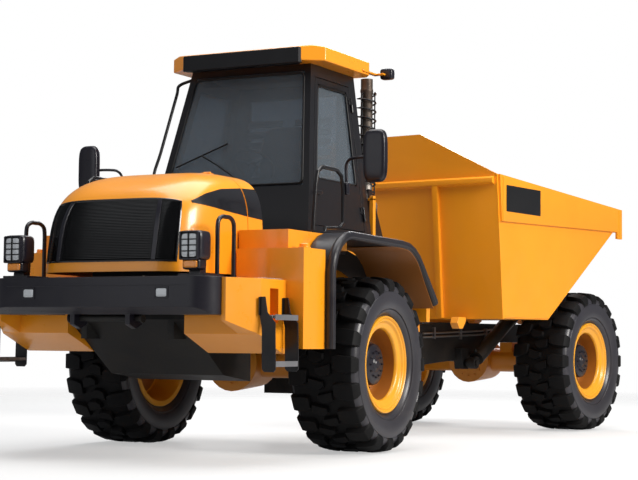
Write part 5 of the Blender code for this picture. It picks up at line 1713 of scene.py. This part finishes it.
# Each cylinder's barrel: its foot, the eye that its rod points to, its length and its radius.
TIP_LINE = ((0.55, 3.20, 0.66), (0.55, 4.36, 1.33), 0.93, 0.070)
STEER_LINE = ((0.341, 1.14, 0.77), (0.261, 2.00, 0.77), 0.535, 0.044)
PIPE_X = 0.412


class DUMPTRUCK_OT_chassis(bpy.types.Operator):
    """Make the cylinder glands and ports, prop shafts, pipes and axle bolts"""

    bl_idname = "dumptruck.chassis"
    bl_label = "Chassis details"

    def execute(self, context):
        for side, word in SIDES:
            self.gland("tip_barrel_" + word, TIP_LINE, side, TRAILER)
            self.gland("steer_barrel_" + word, STEER_LINE, side, TRACTOR)
        self.shafts()
        self.axles()
        return {"FINISHED"}

    @staticmethod
    def gland(body, line, side, place):
        """The screwed end of a barrel, with two hose ports on the barrel."""
        base, eye, reach, radius = line
        start = Vector((side * base[0], base[1], base[2]))
        stop = Vector((side * eye[0], eye[1], eye[2]))
        along = (stop - start).normalized()
        form = bmesh.new()
        inner, outer = radius - 0.004, radius + 0.006
        near, far = reach - 0.075, reach - 0.008
        add_lathe(form, [
            (inner, near), (outer, near), (outer, reach - 0.012), (outer - 0.004, far), (inner, far),
        ], start, along, 32, closed=True)
        across = frame_along(along)[1]
        for offset in (0.10, reach - 0.11):
            foot = start + along * offset
            add_rod(form, foot + across * (radius - 0.004), foot + across * (radius + 0.022), 0.016, 12)
            add_rod(form, foot + across * (radius + 0.018), foot + across * (radius + 0.030), 0.011, 6)
        piece(body + "_gland", form, "frame_dark", body, "black_paint", place)

    def shafts(self):
        """Prop shafts with their joints, and the pipes along the rear frame."""
        for name, body, place, start, stop in (
            ("front_prop_shaft", "tractor", TRACTOR, (0, 0.205, 0.68), (0, 1.015, 0.74)),
            ("rear_prop_shaft", "rear_chassis", TRAILER, (0, 2.385, 0.745), (0, 4.075, 0.69)),
        ):
            form = bmesh.new()
            start, stop = Vector(start), Vector(stop)
            along = (stop - start).normalized()
            add_rod(form, start, stop, 0.036, 24)
            for end, toward in ((start, 1), (stop, -1)):
                add_rod(form, end, end + along * toward * 0.014, 0.068, 24)
                add_rod(form, end + along * toward * 0.014, end + along * toward * 0.085, 0.048, 6)
            piece(name, form, "frame_dark", body, "bright_steel", place)
        pipes = bmesh.new()
        for side, _ in SIDES:
            for rise in (0.0, 0.035):
                path = [(side * PIPE_X, 2.50, 0.90 + rise), (side * PIPE_X, 3.50, 0.93 + rise),
                        (side * PIPE_X, 3.90, 0.955 + rise)]
                add_tube(pipes, smooth_path(path, 4), 0.009, 10)
            for y in (2.7, 3.2, 3.7):
                add_box(pipes, (side * PIPE_X - 0.014, y - 0.012, 0.885),
                        (side * PIPE_X + 0.014, y + 0.012, 0.995))
        piece("hydraulic_pipes", pipes, "pipe_steel", "rear_chassis", "bright_steel", TRAILER)

    def axles(self):
        """Covers and bolts of the axle cases, and the flanges inside the wheels."""
        for name, body, place, middle in (
            ("front_axle_bolts", "tractor", TRACTOR, 0.0), ("rear_axle_bolts", "rear_chassis", TRAILER, 4.28),
        ):
            form = bmesh.new()
            for toward in (-1, 1):
                ring = nut_ring("case_bolts", (0.010, 0.012), 14, 0.165, "frame_dark")
                turn = Matrix.Rotation(toward * math.pi / 2, 4, "Z")
                add_form(form, ring, Matrix.Translation((0, middle + toward * 0.2, AXLE_HEIGHT)) @ turn)
                near, far = middle + toward * 0.199, middle + toward * 0.212
                add_rod(form, (0, near, AXLE_HEIGHT), (0, far, AXLE_HEIGHT), 0.075, 32)
            for side, _ in SIDES:
                ring = nut_ring("flange_bolts", (0.010, 0.012), 12, 0.135, "frame_dark")
                turn = Matrix.Rotation(0 if side < 0 else math.pi, 4, "Z")
                add_form(form, ring, Matrix.Translation((side * 0.700, middle, AXLE_HEIGHT)) @ turn)
                flange = [(0.119, -0.014), (0.150, -0.014), (0.150, 0.012), (0.119, 0.012)]
                add_lathe(form, flange, (side * 0.715, middle, AXLE_HEIGHT), X_AXIS, 36, closed=True)
            piece(name, form, "wheel_yellow", body, "yellow_paint", place)


# ---------------------------------------------------------------- studio


def camera_turn(yaw, pitch, roll):
    """Rotation of a camera that looks along a heading, tipped up and rolled."""
    yaw, pitch, roll = math.radians(yaw), math.radians(pitch), math.radians(roll)
    ahead = Vector((-math.sin(yaw) * math.cos(pitch), math.cos(yaw) * math.cos(pitch), math.sin(pitch)))
    side = Vector((math.cos(yaw), math.sin(yaw), 0))
    up = side.cross(ahead)
    right = side * math.cos(roll) + up * math.sin(roll)
    return Matrix((right, right.cross(ahead), -ahead)).transposed().to_4x4()


CAMERA_PLACE = (6.446, -12.829, 0.858)
CAMERA_TURN = (27.625, 3.59, 0.495)
SENSOR_WIDTH = 36
FLOOR_RADIUS = 16
# Each light: name, share of the key light's power, size, place, the point it looks at, colour.
LIGHTS = (
    ("key", 1.0, 5.0, (13.0, -1.8, 7.5), (0, -0.5, 1.2), (1.0, 0.97, 0.92)),
    ("front_fill", 0.07, 7.0, (-3.0, -12.0, 4.5), (0, -1.5, 1.2), (0.95, 0.97, 1.0)),
    ("rear_rim", 0.30, 5.0, (-4.0, 9.0, 7.0), (0, 0, 1.5), (1, 1, 1)),
    ("top", 0.5, 9.0, (0.5, -0.5, 10.0), (0, 0, 1.0), (1, 1, 1)),
)


def area_light(name, power, size, place, target, colour):
    light = bpy.data.lights.new(name, "AREA")
    light.energy = power
    light.size = size
    light.color = colour
    obj = bpy.data.objects.new(name, light)
    bpy.context.scene.collection.objects.link(obj)
    aim = (Vector(target) - Vector(place)).to_track_quat("-Z", "Y").to_matrix().to_4x4()
    obj.matrix_world = Matrix.Translation(place) @ aim


class DUMPTRUCK_OT_stage(bpy.types.Operator):
    """Make the pale floor, the soft lights and the camera"""

    bl_idname = "dumptruck.stage"
    bl_label = "Studio"

    def execute(self, context):
        sizes = context.scene.truck_stage
        camera = bpy.data.cameras.new("camera")
        camera.lens = sizes.lens
        camera.sensor_width = SENSOR_WIDTH
        camera.clip_end = 200
        obj = bpy.data.objects.new("camera", camera)
        context.scene.collection.objects.link(obj)
        obj.matrix_world = Matrix.Translation(CAMERA_PLACE) @ camera_turn(*CAMERA_TURN)
        context.scene.camera = obj
        self.floor()
        for name, share, *layout in LIGHTS:
            area_light(name, sizes.key * share, *layout)
        self.surround(context)
        context.scene.view_settings.view_transform = "Standard"
        return {"FINISHED"}

    @staticmethod
    def surround(context):
        """A soft sky that lights the truck, and looks plain white behind it."""
        world = bpy.data.worlds.new("studio")
        context.scene.world = world
        world.use_nodes = True
        tree = world.node_tree
        soft = tree.nodes["Background"]
        feed(tree, soft, {"Color": (0.90, 0.94, 1.0, 1), "Strength": 0.20})
        plain_white = add_node(tree, "ShaderNodeBackground", {"Color": (1, 1, 1, 1), "Strength": 1.0})
        seen = add_node(tree, "ShaderNodeLightPath").outputs["Is Camera Ray"]
        mix = add_node(tree, "ShaderNodeMixShader", {0: seen, 1: soft.outputs[0], 2: plain_white.outputs[0]})
        tree.links.new(mix.outputs[0], tree.nodes["World Output"].inputs["Surface"])

    @staticmethod
    def floor():
        form = bmesh.new()
        bmesh.ops.create_circle(form, cap_ends=True, cap_tris=False, segments=96, radius=FLOOR_RADIUS)
        object_from("studio_floor", form, "studio_floor", 60.0, outward=False)


# ---------------------------------------------------------------- add-on


class DUMPTRUCK_PT_panel(bpy.types.Panel):
    """Operators and settings of the dump truck"""

    bl_idname = "DUMPTRUCK_PT_panel"
    bl_label = "Dump Truck"
    bl_space_type = "VIEW_3D"
    bl_region_type = "UI"
    bl_category = "Dump Truck"

    def draw(self, context):
        scene = context.scene
        for group in (scene.truck_paint, scene.truck_wheels, scene.truck_hood, scene.truck_stage):
            column = self.layout.column(align=True)
            for name in group.__annotations__:
                column.prop(group, name)
        for operator in OPERATORS:
            self.layout.operator(operator.bl_idname)


OPERATORS = (
    DUMPTRUCK_OT_stage, DUMPTRUCK_OT_bodywork, DUMPTRUCK_OT_hood, DUMPTRUCK_OT_wheels, DUMPTRUCK_OT_front,
    DUMPTRUCK_OT_cab, DUMPTRUCK_OT_interior, DUMPTRUCK_OT_exhaust, DUMPTRUCK_OT_bed, DUMPTRUCK_OT_chassis,
)
SETTINGS = {
    "truck_paint": DumpTruckPaint, "truck_wheels": DumpTruckWheels, "truck_hood": DumpTruckHood,
    "truck_stage": DumpTruckStage,
}


def register():
    for group in SETTINGS.values():
        bpy.utils.register_class(group)
    for operator in OPERATORS:
        bpy.utils.register_class(operator)
    bpy.utils.register_class(DUMPTRUCK_PT_panel)
    for name, group in SETTINGS.items():
        setattr(bpy.types.Scene, name, bpy.props.PointerProperty(type=group))


def unregister():
    for name in SETTINGS:
        delattr(bpy.types.Scene, name)
    bpy.utils.unregister_class(DUMPTRUCK_PT_panel)
    for operator in reversed(OPERATORS):
        bpy.utils.unregister_class(operator)
    for group in reversed(list(SETTINGS.values())):
        bpy.utils.unregister_class(group)


def main():
    register()
    for operator in OPERATORS:
        module, name = operator.bl_idname.split(".")
        getattr(getattr(bpy.ops, module), name)()


if __name__ == "__main__":
    main()
